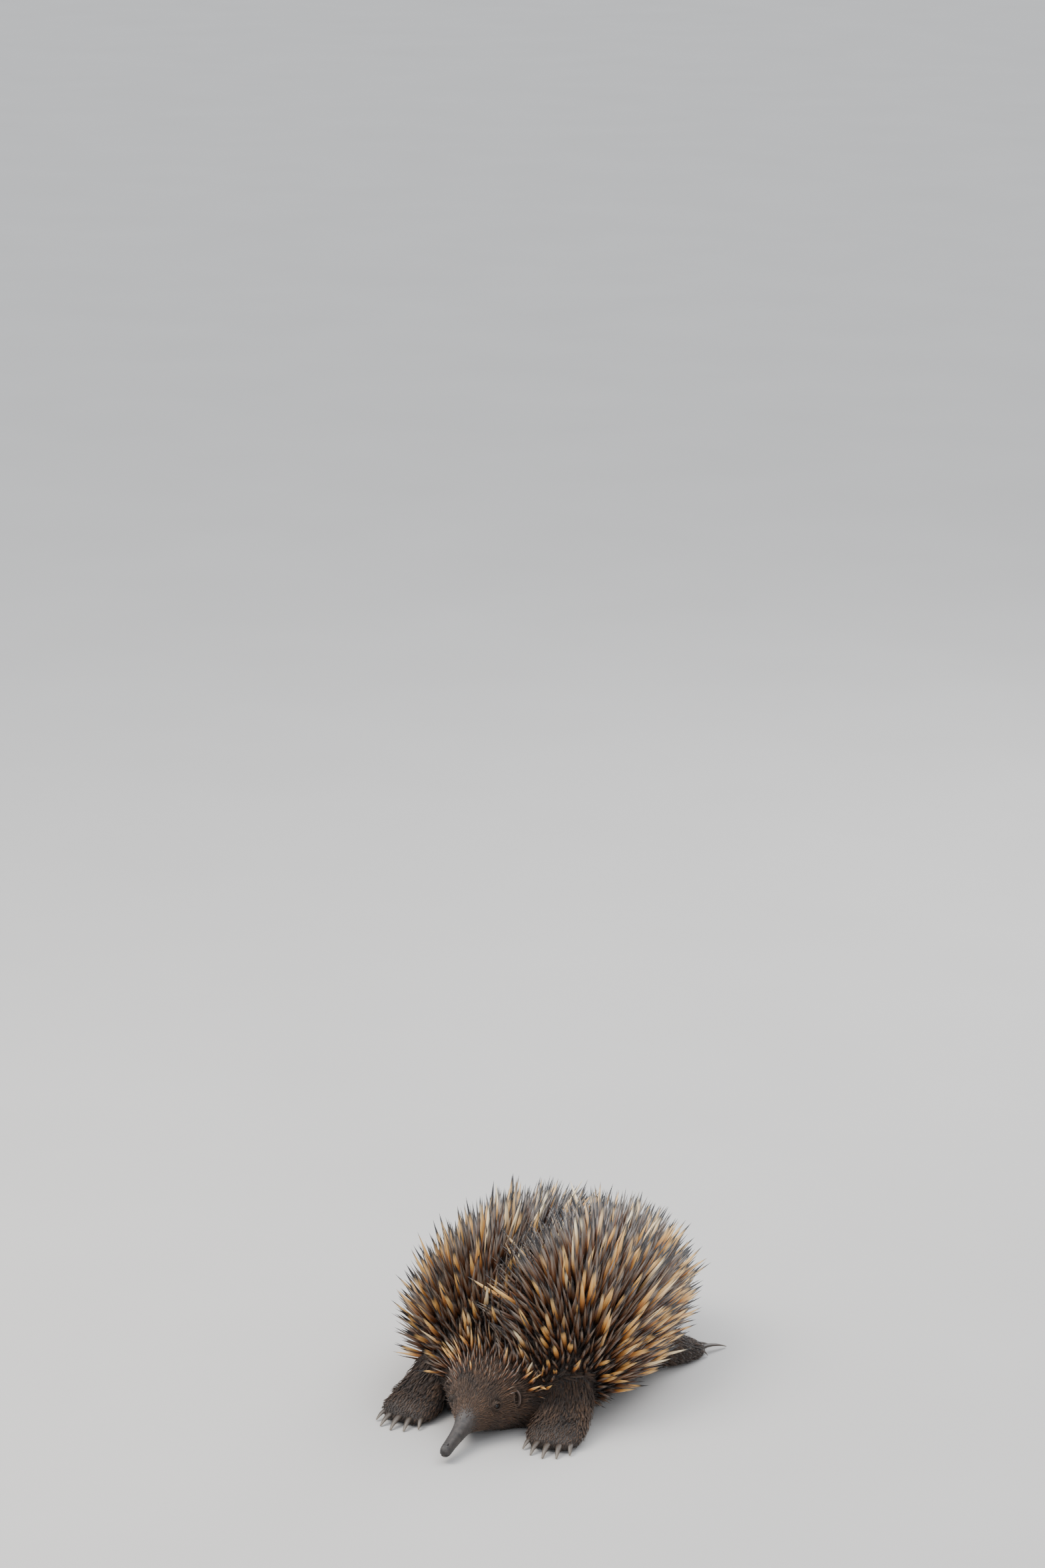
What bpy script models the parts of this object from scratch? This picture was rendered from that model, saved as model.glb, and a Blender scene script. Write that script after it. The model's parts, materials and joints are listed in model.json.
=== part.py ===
"""A short-beaked echidna crouched on its belly, life size, in metres.

The animal faces -Y with its left side at +X, and rests on z = 0. Its trunk, from the tip of the beak
to the tail, is one skin of upright sections, parted by thin cuts into beak, head, neck, torso and tail.
"""

import math
import random

import bmesh
import bpy
from mathutils import Matrix, Vector
from mathutils.bvhtree import BVHTree

GAP = 0.0003  # between pieces that touch
BELLY_SINK = -0.012  # an underside this low is cut off flat by the floor

# Upright sections of the trunk: y, half width, top, widest level, underside, depth of the groove on the back
SECTIONS = (
    (-0.2300, 0.0026, 0.0132, 0.0104, 0.0076, 0.0),
    (-0.2288, 0.0042, 0.0148, 0.0106, 0.0062, 0.0),
    (-0.2255, 0.0052, 0.0166, 0.0112, 0.0056, 0.0),
    (-0.2120, 0.0056, 0.0202, 0.0144, 0.0080, 0.0),
    (-0.1970, 0.0068, 0.0256, 0.0184, 0.0104, 0.0),
    (-0.1840, 0.0098, 0.0335, 0.0236, 0.0118, 0.0),
    (-0.1730, 0.0170, 0.0430, 0.0275, 0.0100, 0.0),
    (-0.1590, 0.0262, 0.0540, 0.0300, 0.0060, 0.0),
    (-0.1450, 0.0335, 0.0620, 0.0310, 0.0020, 0.0),
    (-0.1310, 0.0420, 0.0700, 0.0320, -0.0040, 0.001),
    (-0.1200, 0.0560, 0.0820, 0.0330, -0.0100, 0.003),
    (-0.1080, 0.0710, 0.0965, 0.0350, BELLY_SINK, 0.006),
    (-0.0920, 0.0830, 0.1120, 0.0380, BELLY_SINK, 0.009),
    (-0.0650, 0.0945, 0.1255, 0.0410, BELLY_SINK, 0.012),
    (-0.0200, 0.1015, 0.1330, 0.0420, BELLY_SINK, 0.014),
    (0.0200, 0.1030, 0.1350, 0.0420, BELLY_SINK, 0.014),
    (0.0600, 0.1000, 0.1315, 0.0410, BELLY_SINK, 0.013),
    (0.0950, 0.0900, 0.1205, 0.0390, BELLY_SINK, 0.010),
    (0.1200, 0.0760, 0.1030, 0.0360, BELLY_SINK, 0.006),
    (0.1380, 0.0580, 0.0820, 0.0330, -0.0060, 0.002),
    (0.1490, 0.0390, 0.0610, 0.0290, 0.0020, 0.0),
    (0.1570, 0.0235, 0.0430, 0.0245, 0.0060, 0.0),
    (0.1680, 0.0155, 0.0325, 0.0200, 0.0070, 0.0),
    (0.1800, 0.0095, 0.0240, 0.0160, 0.0075, 0.0),
    (0.1860, 0.0030, 0.0165, 0.0135, 0.0100, 0.0),
)
SQUARENESS = 0.86  # power on the sine and cosine of a section, under 1 for fuller shoulders
GROOVE_WIDTH = 0.028  # half width of the groove between the two humps of the back

BEAK_END, HEAD_END, NECK_END, TORSO_END = -0.1815, -0.1360, -0.1230, 0.1510

# The spines stand in two fans, one over each shoulder, and cross over the groove of the back
FAN_CENTRE = Vector((0.052, -0.050, 0.008))
PARTING = 0.012  # how far left of the middle the fans part, where the animal leans a little on its right
PARTING_LEAN, LEAN_WIDTH = 0.62, 0.026  # the left fan's lean over the parting, and how wide a strip leans
NAPE_FRONT, NAPE_BACK = -0.1480, -0.1020  # in front of this y spines lie back, behind that y they fan out
SPINE_LENGTH = 0.052  # the longest, on the back
SPINE_RADIUS = 0.0022
SPINE_SIDES = 4
SPINE_WIDEST = 0.45  # how far up a spine is thickest
SPINE_SINK = 0.006  # how deep its root lies under the skin
SPINE_ROOT = 0.60  # the root's share of the full radius
SPINE_APART = 0.0006  # least space between spines, and from a spine to any other piece
SPINE_STRAY = 0.065  # how far its way may differ from its neighbours'
SPINE_TRIES = 8
LOWEST_ROOT = 0.0200
# Where spines grow: node, first and last y, lowest share of the height, space between roots
SPINE_FIELDS = (
    ("torso", -0.1220, 0.1500, 0.10, 0.0104),
    ("neck", -0.1355, -0.1235, 0.45, 0.0080),
    ("head", -0.1560, -0.1365, 0.70, 0.0085),
    ("tail", 0.1520, 0.1800, 0.15, 0.0090),
)

# Left limbs from inside the trunk to the foot: centre x, y, z, half width, half height
FORELEG = (
    (0.0500, -0.0760, 0.0400, 0.0260, 0.0280),
    (0.0630, -0.0990, 0.0290, 0.0260, 0.0230),
    (0.0700, -0.1180, 0.0185, 0.0245, 0.0170),
    (0.0730, -0.1350, 0.0120, 0.0255, 0.0134),
    (0.0745, -0.1510, 0.0083, 0.0260, 0.0104),
    (0.0755, -0.1620, 0.0055, 0.0215, 0.0070),
)
HINDLEG = (
    (0.0550, 0.0480, 0.0400, 0.0290, 0.0310),
    (0.0780, 0.0590, 0.0280, 0.0265, 0.0250),
    (0.0920, 0.0720, 0.0175, 0.0230, 0.0185),
    (0.1000, 0.0850, 0.0110, 0.0205, 0.0133),
    (0.1050, 0.0980, 0.0078, 0.0200, 0.0102),
    (0.1085, 0.1080, 0.0052, 0.0160, 0.0066),
)
# Claws: place across the foot from -1 to 1, turn in degrees, length, width
FORE_CLAWS = (
    (-0.80, -16.0, 0.0170, 0.0060),
    (-0.42, -8.0, 0.0230, 0.0070),
    (0.00, 0.0, 0.0250, 0.0074),
    (0.42, 8.0, 0.0230, 0.0070),
    (0.80, 18.0, 0.0170, 0.0060),
)
HIND_CLAWS = (
    (-0.82, -24.0, 0.0100, 0.0050),
    (-0.44, -12.0, 0.0150, 0.0052),
    (0.00, 4.0, 0.0250, 0.0056),
    (0.44, 14.0, 0.0360, 0.0060),
    (0.82, 30.0, 0.0090, 0.0060),
)

CLAW_ARCH, CLAW_DROP = 0.0022, 0.0040  # rise of a claw's back, and fall of its tip
CLAW_HEIGHT = 0.0052  # of its root over the floor

EYE_RADIUS = 0.0042
EYE_Y, EYE_Z = -0.1640, 0.0350
EYE_DEPTH = 0.0016  # how far the eye's centre lies inside the skin
LID_RADIUS, LID_THICK, LID_OUT = 0.0049, 0.0012, 0.0020
EAR_Y, EAR_Z = -0.1435, 0.0370
EAR_RIM, EAR_THICK = (0.0042, 0.0085), 0.0019  # half width and half height of the rim, and its radius
EAR_PIT = (0.0040, 0.0024, 0.0064)
NOSTRIL_Y, NOSTRIL_X = -0.2238, 0.0021
NOSTRIL_RADII = (0.0009, 0.0019, 0.0022)
MOUTH_Z = 0.0088
MOUTH_RADII = (0.0080, 0.0120, 0.0006)

TRUNK_SIDES, HEAD_SIDES, BEAK_SIDES, LIMB_SIDES, CLAW_SIDES = 30, 24, 16, 14, 6

COLOURS = {
    "spine": (0.20, 0.10, 0.04, 1.0),
    "fur": (0.045, 0.028, 0.018, 1.0),
    "beak": (0.055, 0.047, 0.045, 1.0),
    "eye": (0.008, 0.007, 0.007, 1.0),
    "ear": (0.060, 0.040, 0.030, 1.0),
}
ROUGHNESS = {"spine": 0.45, "fur": 0.9, "beak": 0.6, "eye": 0.1, "ear": 0.8}


def empty_scene():
    for old in list(bpy.data.objects):
        bpy.data.objects.remove(old, do_unlink=True)


def new_collection(name):
    collection = bpy.data.collections.new(name)
    bpy.context.scene.collection.children.link(collection)
    return collection


def finish_for(name, kind):
    material = bpy.data.materials.new(name)
    material.use_nodes = True
    shader = material.node_tree.nodes["Principled BSDF"]
    shader.inputs["Base Color"].default_value = COLOURS[kind]
    shader.inputs["Roughness"].default_value = ROUGHNESS[kind]
    material.diffuse_color = COLOURS[kind]
    return material


def as_object(name, bm, collection):
    bmesh.ops.recalc_face_normals(bm, faces=bm.faces)
    mesh = bpy.data.meshes.new(name)
    bm.to_mesh(mesh)
    bm.free()
    made = bpy.data.objects.new(name, mesh)
    collection.objects.link(made)
    return made


def smooth_row(rows, at, column=0):
    """The row at a value of one column, on a smooth curve through the rows."""
    last = len(rows) - 2
    step = next((i for i in range(last + 1) if at <= rows[i + 1][column]), last)
    a, b = rows[step], rows[step + 1]
    before, after = rows[max(step - 1, 0)], rows[min(step + 2, last + 1)]
    span = b[column] - a[column]
    f = min(max((at - a[column]) / span, 0.0), 1.0)
    found = []
    for k in range(len(a)):
        rise_a = (b[k] - before[k]) / (b[column] - before[column]) * span
        rise_b = (after[k] - a[k]) / (after[column] - a[column]) * span
        found.append(
            (2 * f**3 - 3 * f**2 + 1) * a[k]
            + (f**3 - 2 * f**2 + f) * rise_a
            + (3 * f**2 - 2 * f**3) * b[k]
            + (f**3 - f**2) * rise_b
        )
    return found


def powered(value, power):
    return math.copysign(abs(value) ** power, value)


def section(y, sides):
    """The outline of the trunk at y, anticlockwise from the left flank."""
    _, half, top, level, low, groove = smooth_row(SECTIONS, y)
    points = []
    for i in range(sides):
        turn = 2 * math.pi * i / sides
        x = half * powered(math.cos(turn), SQUARENESS)
        rise = powered(math.sin(turn), SQUARENESS)
        if rise >= 0:
            z = level + (top - level) * rise - groove * math.exp(-((x / GROOVE_WIDTH) ** 2))
        else:
            z = level + (level - low) * rise
        points.append(Vector((x, y, max(z, 0.0))))
    return points


def loft(rings):
    """A closed mesh through rings of the same number of points."""
    bm = bmesh.new()
    made = [[bm.verts.new(point) for point in ring] for ring in rings]
    for near, far in zip(made, made[1:]):
        for i in range(len(near)):
            j = (i + 1) % len(near)
            bm.faces.new((near[i], near[j], far[j], far[i]))
    bm.faces.new(made[0])
    bm.faces.new(made[-1])
    return bm


def steps(start, end, count):
    return [start + (end - start) * i / count for i in range(count + 1)]


def trunk_piece(name, stations, sides, collection):
    return as_object(name, loft([section(y, sides) for y in stations]), collection)


def surface_of(made):
    bm = bmesh.new()
    bm.from_mesh(made.data)
    tree = BVHTree.FromBMesh(bm)
    bm.free()
    return tree


def on_trunk(y, z, side=1):
    """The point of the trunk's side at y and z, with the outward direction there."""
    ring = section(y, 4 * TRUNK_SIDES)
    best = min((p for p in ring if p.x > 0), key=lambda p: abs(p.z - z))
    ahead = min((p for p in section(y - 0.004, 4 * TRUNK_SIDES) if p.x > 0), key=lambda p: abs(p.z - z))
    above = min((p for p in ring if p.x > 0), key=lambda p: abs(p.z - z - 0.004))
    out = (above - best).cross(ahead - best).normalized()
    if out.x < 0:
        out.negate()
    point = Vector((side * best.x, y, z))
    return point, Vector((side * out.x, out.y, out.z))


def apply_boolean(made, operation, tool=None, collection=None, solver="EXACT"):
    """One Boolean, applied, after which only the largest closed surface stays."""
    change = made.modifiers.new(operation.title(), "BOOLEAN")
    change.operation = operation
    change.solver = solver
    if collection is None:
        change.object = tool
    else:
        change.operand_type = "COLLECTION"
        change.collection = collection
    bpy.context.view_layer.update()
    graph = bpy.context.evaluated_depsgraph_get()
    mesh = bpy.data.meshes.new_from_object(made.evaluated_get(graph))
    made.modifiers.remove(change)
    made.data = mesh
    keep_largest(mesh)


def keep_largest(mesh):
    bm = bmesh.new()
    bm.from_mesh(mesh)
    left = set(bm.verts)
    pieces = []
    while left:
        piece = {left.pop()}
        edge = list(piece)
        while edge:
            for link in edge.pop().link_edges:
                for vert in link.verts:
                    if vert not in piece:
                        piece.add(vert)
                        edge.append(vert)
        left -= piece
        pieces.append(piece)
    pieces.sort(key=len)
    for piece in pieces[:-1]:
        bmesh.ops.delete(bm, geom=list(piece), context="VERTS")
    bm.to_mesh(mesh)
    bm.free()


def unite(made, bms, solver="EXACT"):
    """Fuses closed meshes into an object, through a collection that is then removed."""
    extras = bpy.data.collections.new(made.name + "_extras")
    bpy.context.scene.collection.children.link(extras)
    for bm in bms:
        as_object(made.name + "_extra", bm, extras)
    apply_boolean(made, "UNION", collection=extras, solver=solver)
    for extra in list(extras.objects):
        bpy.data.objects.remove(extra, do_unlink=True)
    bpy.data.collections.remove(extras)


def swollen(made, by, collection):
    """A cutter that is a copy of an object, larger by a small gap all round."""
    bm = bmesh.new()
    bm.from_mesh(made.data)
    bm.normal_update()
    moves = [vert.normal * by for vert in bm.verts]
    for vert, move in zip(bm.verts, moves):
        vert.co += move
    cutter = as_object("clear_of_" + made.name, bm, collection)
    cutter.hide_render = True
    cutter.display_type = "WIRE"
    return cutter


def ball(centre, radii, segments=12, rings=8):
    bm = bmesh.new()
    bmesh.ops.create_uvsphere(bm, u_segments=segments, v_segments=rings, radius=1.0)
    bm.transform(Matrix.Translation(centre) @ Matrix.Diagonal((*radii, 1.0)))
    return bm


def oval_rim(centre, out, half_width, half_height, thick, around=14, sides=5):
    """A closed rim round an opening that faces out."""
    up = (Vector((0, 0, 1)) - out * out.z).normalized()
    along = up.cross(out).normalized()
    bm = bmesh.new()
    rings = []
    for i in range(around):
        turn = 2 * math.pi * i / around
        middle = centre + along * half_width * math.cos(turn) + up * half_height * math.sin(turn)
        away = (middle - centre).normalized()
        ring = []
        for j in range(sides):
            roll = 2 * math.pi * j / sides
            ring.append(bm.verts.new(middle + (away * math.cos(roll) + out * math.sin(roll)) * thick))
        rings.append(ring)
    for i in range(around):
        near, far = rings[i], rings[(i + 1) % around]
        for j in range(sides):
            k = (j + 1) % sides
            bm.faces.new((near[j], near[k], far[k], far[j]))
    return bm


def mirrored(row, side):
    return (side * row[0], *row[1:])


def limb_rings(rows, side, count):
    rings = []
    spans = [0.0]
    for a, b in zip(rows, rows[1:]):
        spans.append(spans[-1] + (Vector(b[:3]) - Vector(a[:3])).length)
    keyed = [(span, *mirrored(row, side)) for span, row in zip(spans, rows)]
    places = [smooth_row(keyed, at) for at in steps(0.0, spans[-1], count)]
    for i, place in enumerate(places):
        ahead = Vector(places[min(i + 1, count)][1:4])
        behind = Vector(places[max(i - 1, 0)][1:4])
        along = (ahead - behind).normalized()
        across = along.cross(Vector((0, 0, 1))).normalized()
        up = across.cross(along).normalized()
        centre, half_width, half_height = Vector(place[1:4]), place[4], place[5]
        ring = []
        for j in range(LIMB_SIDES):
            turn = 2 * math.pi * j / LIMB_SIDES
            point = centre + across * half_width * math.cos(turn) + up * half_height * math.sin(turn)
            point.z = max(point.z, 0.0)
            ring.append(point)
        rings.append(ring)
    return rings


def claw(root, heading, length, width):
    """A claw like a narrow spade that leaves the foot level and curves down to a blunt tip."""
    across = Vector((-heading.y, heading.x, 0))
    rings = []
    for f in (-0.30, 0.0, 0.35, 0.70, 0.92, 1.0):
        narrow = 1.0 - 0.78 * max(f, 0.0) ** 2.2
        middle = root + heading * length * f
        out = max(f, 0.0)
        arch = CLAW_ARCH * math.sin(math.pi * min(0.75 * out + 0.1, 1.0))
        middle.z = root.z + arch - CLAW_DROP * out**2
        half_height = 0.32 * width * narrow
        middle.z = max(middle.z, half_height + 0.0002)
        ring = []
        for i in range(CLAW_SIDES):
            turn = 2 * math.pi * i / CLAW_SIDES
            side = across * 0.5 * width * narrow * math.cos(turn)
            ring.append(middle + side + Vector((0, 0, half_height * math.sin(turn))))
        rings.append(ring)
    return loft(rings)


def leg(name, rows, claws, side, collection):
    """A limb from inside the trunk to the foot, with its claws fused on."""
    made = as_object(name, loft(limb_rings(rows, side, 9)), collection)
    end, before = Vector(mirrored(rows[-1], side)[:3]), Vector(mirrored(rows[-2], side)[:3])
    forward = end - before
    forward.z = 0
    forward.normalize()
    across = Vector((forward.y, -forward.x, 0)) * side
    spread = rows[-2][3]
    pieces = []
    for place, turn, length, width in claws:
        heading = Matrix.Rotation(-math.radians(turn) * side, 3, "Z") @ forward
        root = end + across * place * spread * 0.86 - forward * (0.004 + 0.006 * place**2)
        root.z = CLAW_HEIGHT
        pieces.append(claw(root, heading, length, width))
    unite(made, pieces, solver="MANIFOLD")
    return made


def share(value, low, high):
    """How far a value is from low to high, from 0 to 1, eased at both ends."""
    f = min(max((value - low) / (high - low), 0.0), 1.0)
    return f * f * (3 - 2 * f)


def spine_lie(root, out):
    """The way a spine points: away from its fan's centre, over the parting, and up and back on the crown."""
    parting = PARTING * share(root.y, 0.150, 0.0)
    centre = Vector((math.copysign(FAN_CENTRE.x, root.x - parting), FAN_CENTRE.y, FAN_CENTRE.z))
    fan = (root - centre).normalized()
    off = root.x - parting
    near = math.exp(-((off / LEAN_WIDTH) ** 2)) * (1 - share(root.y, 0.060, 0.120))
    fan.x -= PARTING_LEAN * near if off >= 0 else 0.75 * near * max(fan.x, 0.0)
    fan.normalize()
    height = share(root.z, 0.030, 0.100)
    nape = out * 0.62 + Vector((0.0, 0.50, 0.05 + 0.30 * height))
    lie = nape.normalized().lerp(fan, share(root.y, NAPE_FRONT, NAPE_BACK))
    return (lie + out * 0.12).normalized()


def spine_length(root):
    """Short on the crown, nape and tail, and longest along the back."""
    crown = 1.0 - 0.70 * (1.0 - share(root.y, -0.155, -0.100))
    low = 0.68 + 0.32 * share(root.z, 0.020, 0.080)
    tail = 1.0 - 0.55 * share(root.y, 0.148, 0.172)
    return SPINE_LENGTH * crown * low * tail


def spine_radius(length, f):
    """The radius a share f of the way up a spine, whose root is below the skin."""
    full = SPINE_RADIUS * (0.70 + 0.30 * min(length / SPINE_LENGTH, 1.0))
    if f > SPINE_WIDEST:
        return full * (1 - f) / (1 - SPINE_WIDEST)
    below = -SPINE_SINK / length
    return full * (SPINE_ROOT + (1 - SPINE_ROOT) * (f - below) / (SPINE_WIDEST - below))


def spine_mesh(root, lie, length, roll):
    """A spine with a sunk root, its widest ring and a point."""
    across = lie.orthogonal().normalized()
    along_side = lie.cross(across)
    bm = bmesh.new()
    rings = []
    for f in (-SPINE_SINK / length, SPINE_WIDEST):
        ring = []
        for i in range(SPINE_SIDES):
            turn = roll + 2 * math.pi * i / SPINE_SIDES
            away = across * math.cos(turn) + along_side * math.sin(turn)
            ring.append(bm.verts.new(root + lie * length * f + away * spine_radius(length, f)))
        rings.append(ring)
    tip = bm.verts.new(root + lie * length)
    for i in range(SPINE_SIDES):
        j = (i + 1) % SPINE_SIDES
        bm.faces.new((rings[0][i], rings[0][j], rings[1][j], rings[1][i]))
        bm.faces.new((rings[1][i], rings[1][j], tip))
    bm.faces.new(rings[0])
    return bm


def probes(root, lie, length, count=14):
    """Points up a spine, from its root below the skin to its tip, with its radius at each."""
    low = -SPINE_SINK / length
    shares = [low + (1 - low) * i / (count - 1) for i in range(count)]
    return [(f, root + lie * length * f, spine_radius(length, f)) for f in shares]


def is_inside(tree, point, out, skin):
    """Whether a point is inside a closed surface, also where its nearest face alone can't tell."""
    if (point - skin).dot(out) >= 0:
        return False
    crossings = 0
    start = point.copy()
    while crossings < 12:
        hit, _, _, _ = tree.ray_cast(start, Vector((0.01, 0.02, 1.0)))
        if hit is None:
            break
        crossings += 1
        start = hit + Vector((0.0, 0.0, 1e-5))
    return crossings % 2 == 1


def is_clear(spine, placed, own, others, limits):
    """Whether a spine keeps its space from those placed, from the skin, the other pieces and the floor."""
    for f, point, radius in spine:
        room = radius + SPINE_APART
        if point.z < room:
            return False
        skin, out, _, away = own.find_nearest(point)
        if away < room or is_inside(own, point, out, skin):
            if f > 0.30 or not limits[0] + room < point.y < limits[1] - room:
                return False
        for tree in others:
            near, out, _, away = tree.find_nearest(point)
            if away < room or is_inside(tree, point, out, near):
                return False
    low, high = spine[0][1], spine[-1][1]
    middle, reach = (low + high) / 2, (high - low).length / 2
    for other, centre, half in placed:
        if (centre - middle).length > half + reach + 2 * SPINE_RADIUS + SPINE_APART:
            continue
        for _, point, radius in spine:
            for _, there, thick in other:
                if (point - there).length < radius + thick + SPINE_APART:
                    return False
    return True


def skin_spots(made, first, last, lowest, draw, count):
    """Random places on a piece's skin, evenly over its area, with the outward direction at each."""
    bm = bmesh.new()
    bm.from_mesh(made.data)
    bmesh.ops.triangulate(bm, faces=bm.faces)
    faces = [face for face in bm.faces if abs(face.normal.y) < 0.999]
    sizes = [face.calc_area() for face in faces]
    spots = []
    for face in draw.choices(faces, weights=sizes, k=count):
        a, b = sorted((draw.random(), draw.random()))
        corners = [vert.co for vert in face.verts]
        spot = corners[0] * a + corners[1] * (b - a) + corners[2] * (1 - b)
        top = smooth_row(SECTIONS, spot.y)[2]
        if first < spot.y < last and spot.z > max(lowest * top, LOWEST_ROOT * share(top, 0.0, 0.07)):
            spots.append((spot, face.normal.copy()))
    bm.free()
    return spots


def grow_spines(nodes):
    """Fuses the spines on, drawn at random with one seed and kept clear of each other and of the rest."""
    draw = random.Random(11)
    trees = {name: surface_of(made) for name, made in nodes.items()}
    placed = []
    for name, first, last, lowest, apart in SPINE_FIELDS:
        others = [tree for other, tree in trees.items() if other != name]
        ends = [vert.co.y for vert in nodes[name].data.vertices]
        limits = (min(ends), max(ends))
        roots, grown = [], []
        for root, out in skin_spots(nodes[name], first, last, lowest, draw, 14000):
            if any((root - there).length < apart for there in roots):
                continue
            for _ in range(SPINE_TRIES):
                stray = Vector([draw.gauss(0, SPINE_STRAY) for _ in range(3)])
                lie = (spine_lie(root, out) + stray).normalized()
                length = spine_length(root) * draw.uniform(0.82, 1.06)
                spine = probes(root, lie, length)
                if is_clear(spine, placed, trees[name], others, limits):
                    low, high = spine[0][1], spine[-1][1]
                    placed.append((spine, (low + high) / 2, (high - low).length / 2))
                    roots.append(root)
                    grown.append(spine_mesh(root, lie, length, draw.uniform(0, math.pi)))
                    break
        unite(nodes[name], grown, solver="MANIFOLD")


def make_echidna():
    empty_scene()
    parts = new_collection("echidna")
    cutters = new_collection("echidna_cutters")

    half = GAP / 2
    tip, blunt, full = (row[0] for row in SECTIONS[:3])
    beak = trunk_piece("beak", [tip, blunt] + steps(full, BEAK_END - half, 8), BEAK_SIDES, parts)
    head = trunk_piece("head", steps(BEAK_END + half, HEAD_END - half, 8), HEAD_SIDES, parts)
    neck = trunk_piece("neck", steps(HEAD_END + half, NECK_END - half, 3), HEAD_SIDES, parts)
    torso = trunk_piece("torso", steps(NECK_END + half, TORSO_END - half, 18), TRUNK_SIDES, parts)
    tail = trunk_piece("tail", steps(TORSO_END + half, SECTIONS[-1][0], 6), BEAK_SIDES, parts)

    clear_torso = swollen(torso, GAP, cutters)
    clear_neck = swollen(neck, GAP, cutters)
    nodes = {"torso": torso, "neck": neck, "head": head, "beak": beak, "tail": tail}
    for word, side in (("left", 1), ("right", -1)):
        for limb, rows, claws in (("foreleg", FORELEG, FORE_CLAWS), ("hindleg", HINDLEG, HIND_CLAWS)):
            made = leg(limb + "_" + word, rows, claws, side, parts)
            apply_boolean(made, "DIFFERENCE", tool=clear_torso, solver="MANIFOLD")
            if limb == "foreleg":
                apply_boolean(made, "DIFFERENCE", tool=clear_neck, solver="MANIFOLD")
            nodes[made.name] = made
        point, out = on_trunk(EYE_Y, EYE_Z, side)
        centre = point - out * EYE_DEPTH
        unite(head, [oval_rim(centre + out * LID_OUT, out, LID_RADIUS, LID_RADIUS * 0.92, LID_THICK)])
        socket = as_object("socket_" + word, ball(centre, (EYE_RADIUS + GAP,) * 3), cutters)
        apply_boolean(head, "DIFFERENCE", tool=socket)
        nodes["eye_" + word] = as_object("eye_" + word, ball(centre, (EYE_RADIUS,) * 3), parts)
        point, out = on_trunk(EAR_Y, EAR_Z, side)
        pit = as_object("ear_pit_" + word, ball(point, EAR_PIT), cutters)
        apply_boolean(head, "DIFFERENCE", tool=pit)
        rim = as_object("ear_" + word, oval_rim(point + out * 0.0004, out, *EAR_RIM, EAR_THICK), parts)
        nodes[rim.name] = rim
        place = Vector((side * NOSTRIL_X, NOSTRIL_Y, smooth_row(SECTIONS, NOSTRIL_Y)[2]))
        nostril = as_object("nostril_" + word, ball(place, NOSTRIL_RADII, 8, 6), cutters)
        apply_boolean(beak, "DIFFERENCE", tool=nostril)
    mouth = as_object("mouth", ball(Vector((0, SECTIONS[0][0], MOUTH_Z)), MOUTH_RADII, 12, 6), cutters)
    apply_boolean(beak, "DIFFERENCE", tool=mouth)
    clear_head = swollen(head, GAP, cutters)
    for word in ("left", "right"):
        apply_boolean(nodes["ear_" + word], "DIFFERENCE", tool=clear_head)
    for cutter in cutters.objects:
        cutter.hide_render = True
        cutter.display_type = "WIRE"

    grow_spines(nodes)
    kinds = {"torso": "spine", "neck": "spine", "head": "fur", "beak": "beak", "tail": "spine"}
    for name, made in nodes.items():
        kind = kinds.get(name, "fur" if "leg" in name else name.split("_")[0])
        made.data.materials.clear()
        made.data.materials.append(finish_for(name, kind))
    set_on_floor(nodes.values(), parts)


def set_on_floor(nodes, collection):
    """Hangs all pieces on one empty that centres the animal's own box on the origin."""
    corners = [made.matrix_world @ Vector(corner) for made in nodes for corner in made.bound_box]
    low_x, high_x = min(c.x for c in corners), max(c.x for c in corners)
    low_y, high_y = min(c.y for c in corners), max(c.y for c in corners)
    centre = bpy.data.objects.new("echidna_centre", None)
    collection.objects.link(centre)
    centre.location = (-(low_x + high_x) / 2, -(low_y + high_y) / 2, 0)
    for made in nodes:
        made.parent = centre


make_echidna()
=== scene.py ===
"""Looks of a life-size short-beaked echidna with its spines raised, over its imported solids, in metres.

The animal faces -Y with its left side at +X. The body is made in its own frame, where the section rows
are given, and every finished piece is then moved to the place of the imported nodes.
"""

import json
import math
import random

import bmesh
import bpy
import numpy as np
from mathutils import Matrix, Vector
from mathutils.bvhtree import BVHTree

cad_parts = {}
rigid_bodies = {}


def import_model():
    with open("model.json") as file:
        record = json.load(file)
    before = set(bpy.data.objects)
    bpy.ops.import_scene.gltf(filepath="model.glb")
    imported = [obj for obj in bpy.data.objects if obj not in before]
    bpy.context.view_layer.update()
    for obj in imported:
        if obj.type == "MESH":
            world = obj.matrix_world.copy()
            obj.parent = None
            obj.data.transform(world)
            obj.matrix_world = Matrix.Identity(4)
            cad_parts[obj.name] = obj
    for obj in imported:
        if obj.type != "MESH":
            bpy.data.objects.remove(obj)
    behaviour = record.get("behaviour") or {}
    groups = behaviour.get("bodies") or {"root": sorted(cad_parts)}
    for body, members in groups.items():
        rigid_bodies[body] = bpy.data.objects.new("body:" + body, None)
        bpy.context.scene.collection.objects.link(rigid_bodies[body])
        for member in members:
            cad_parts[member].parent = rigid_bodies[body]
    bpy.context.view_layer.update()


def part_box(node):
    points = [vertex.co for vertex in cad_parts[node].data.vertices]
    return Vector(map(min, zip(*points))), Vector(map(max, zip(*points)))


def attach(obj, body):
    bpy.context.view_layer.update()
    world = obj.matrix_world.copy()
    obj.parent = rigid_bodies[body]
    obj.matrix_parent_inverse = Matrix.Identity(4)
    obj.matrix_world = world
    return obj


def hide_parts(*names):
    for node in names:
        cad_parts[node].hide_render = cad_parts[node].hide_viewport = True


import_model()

SIDES = (("left", 1), ("right", -1))
UP = Vector((0, 0, 1))

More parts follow.
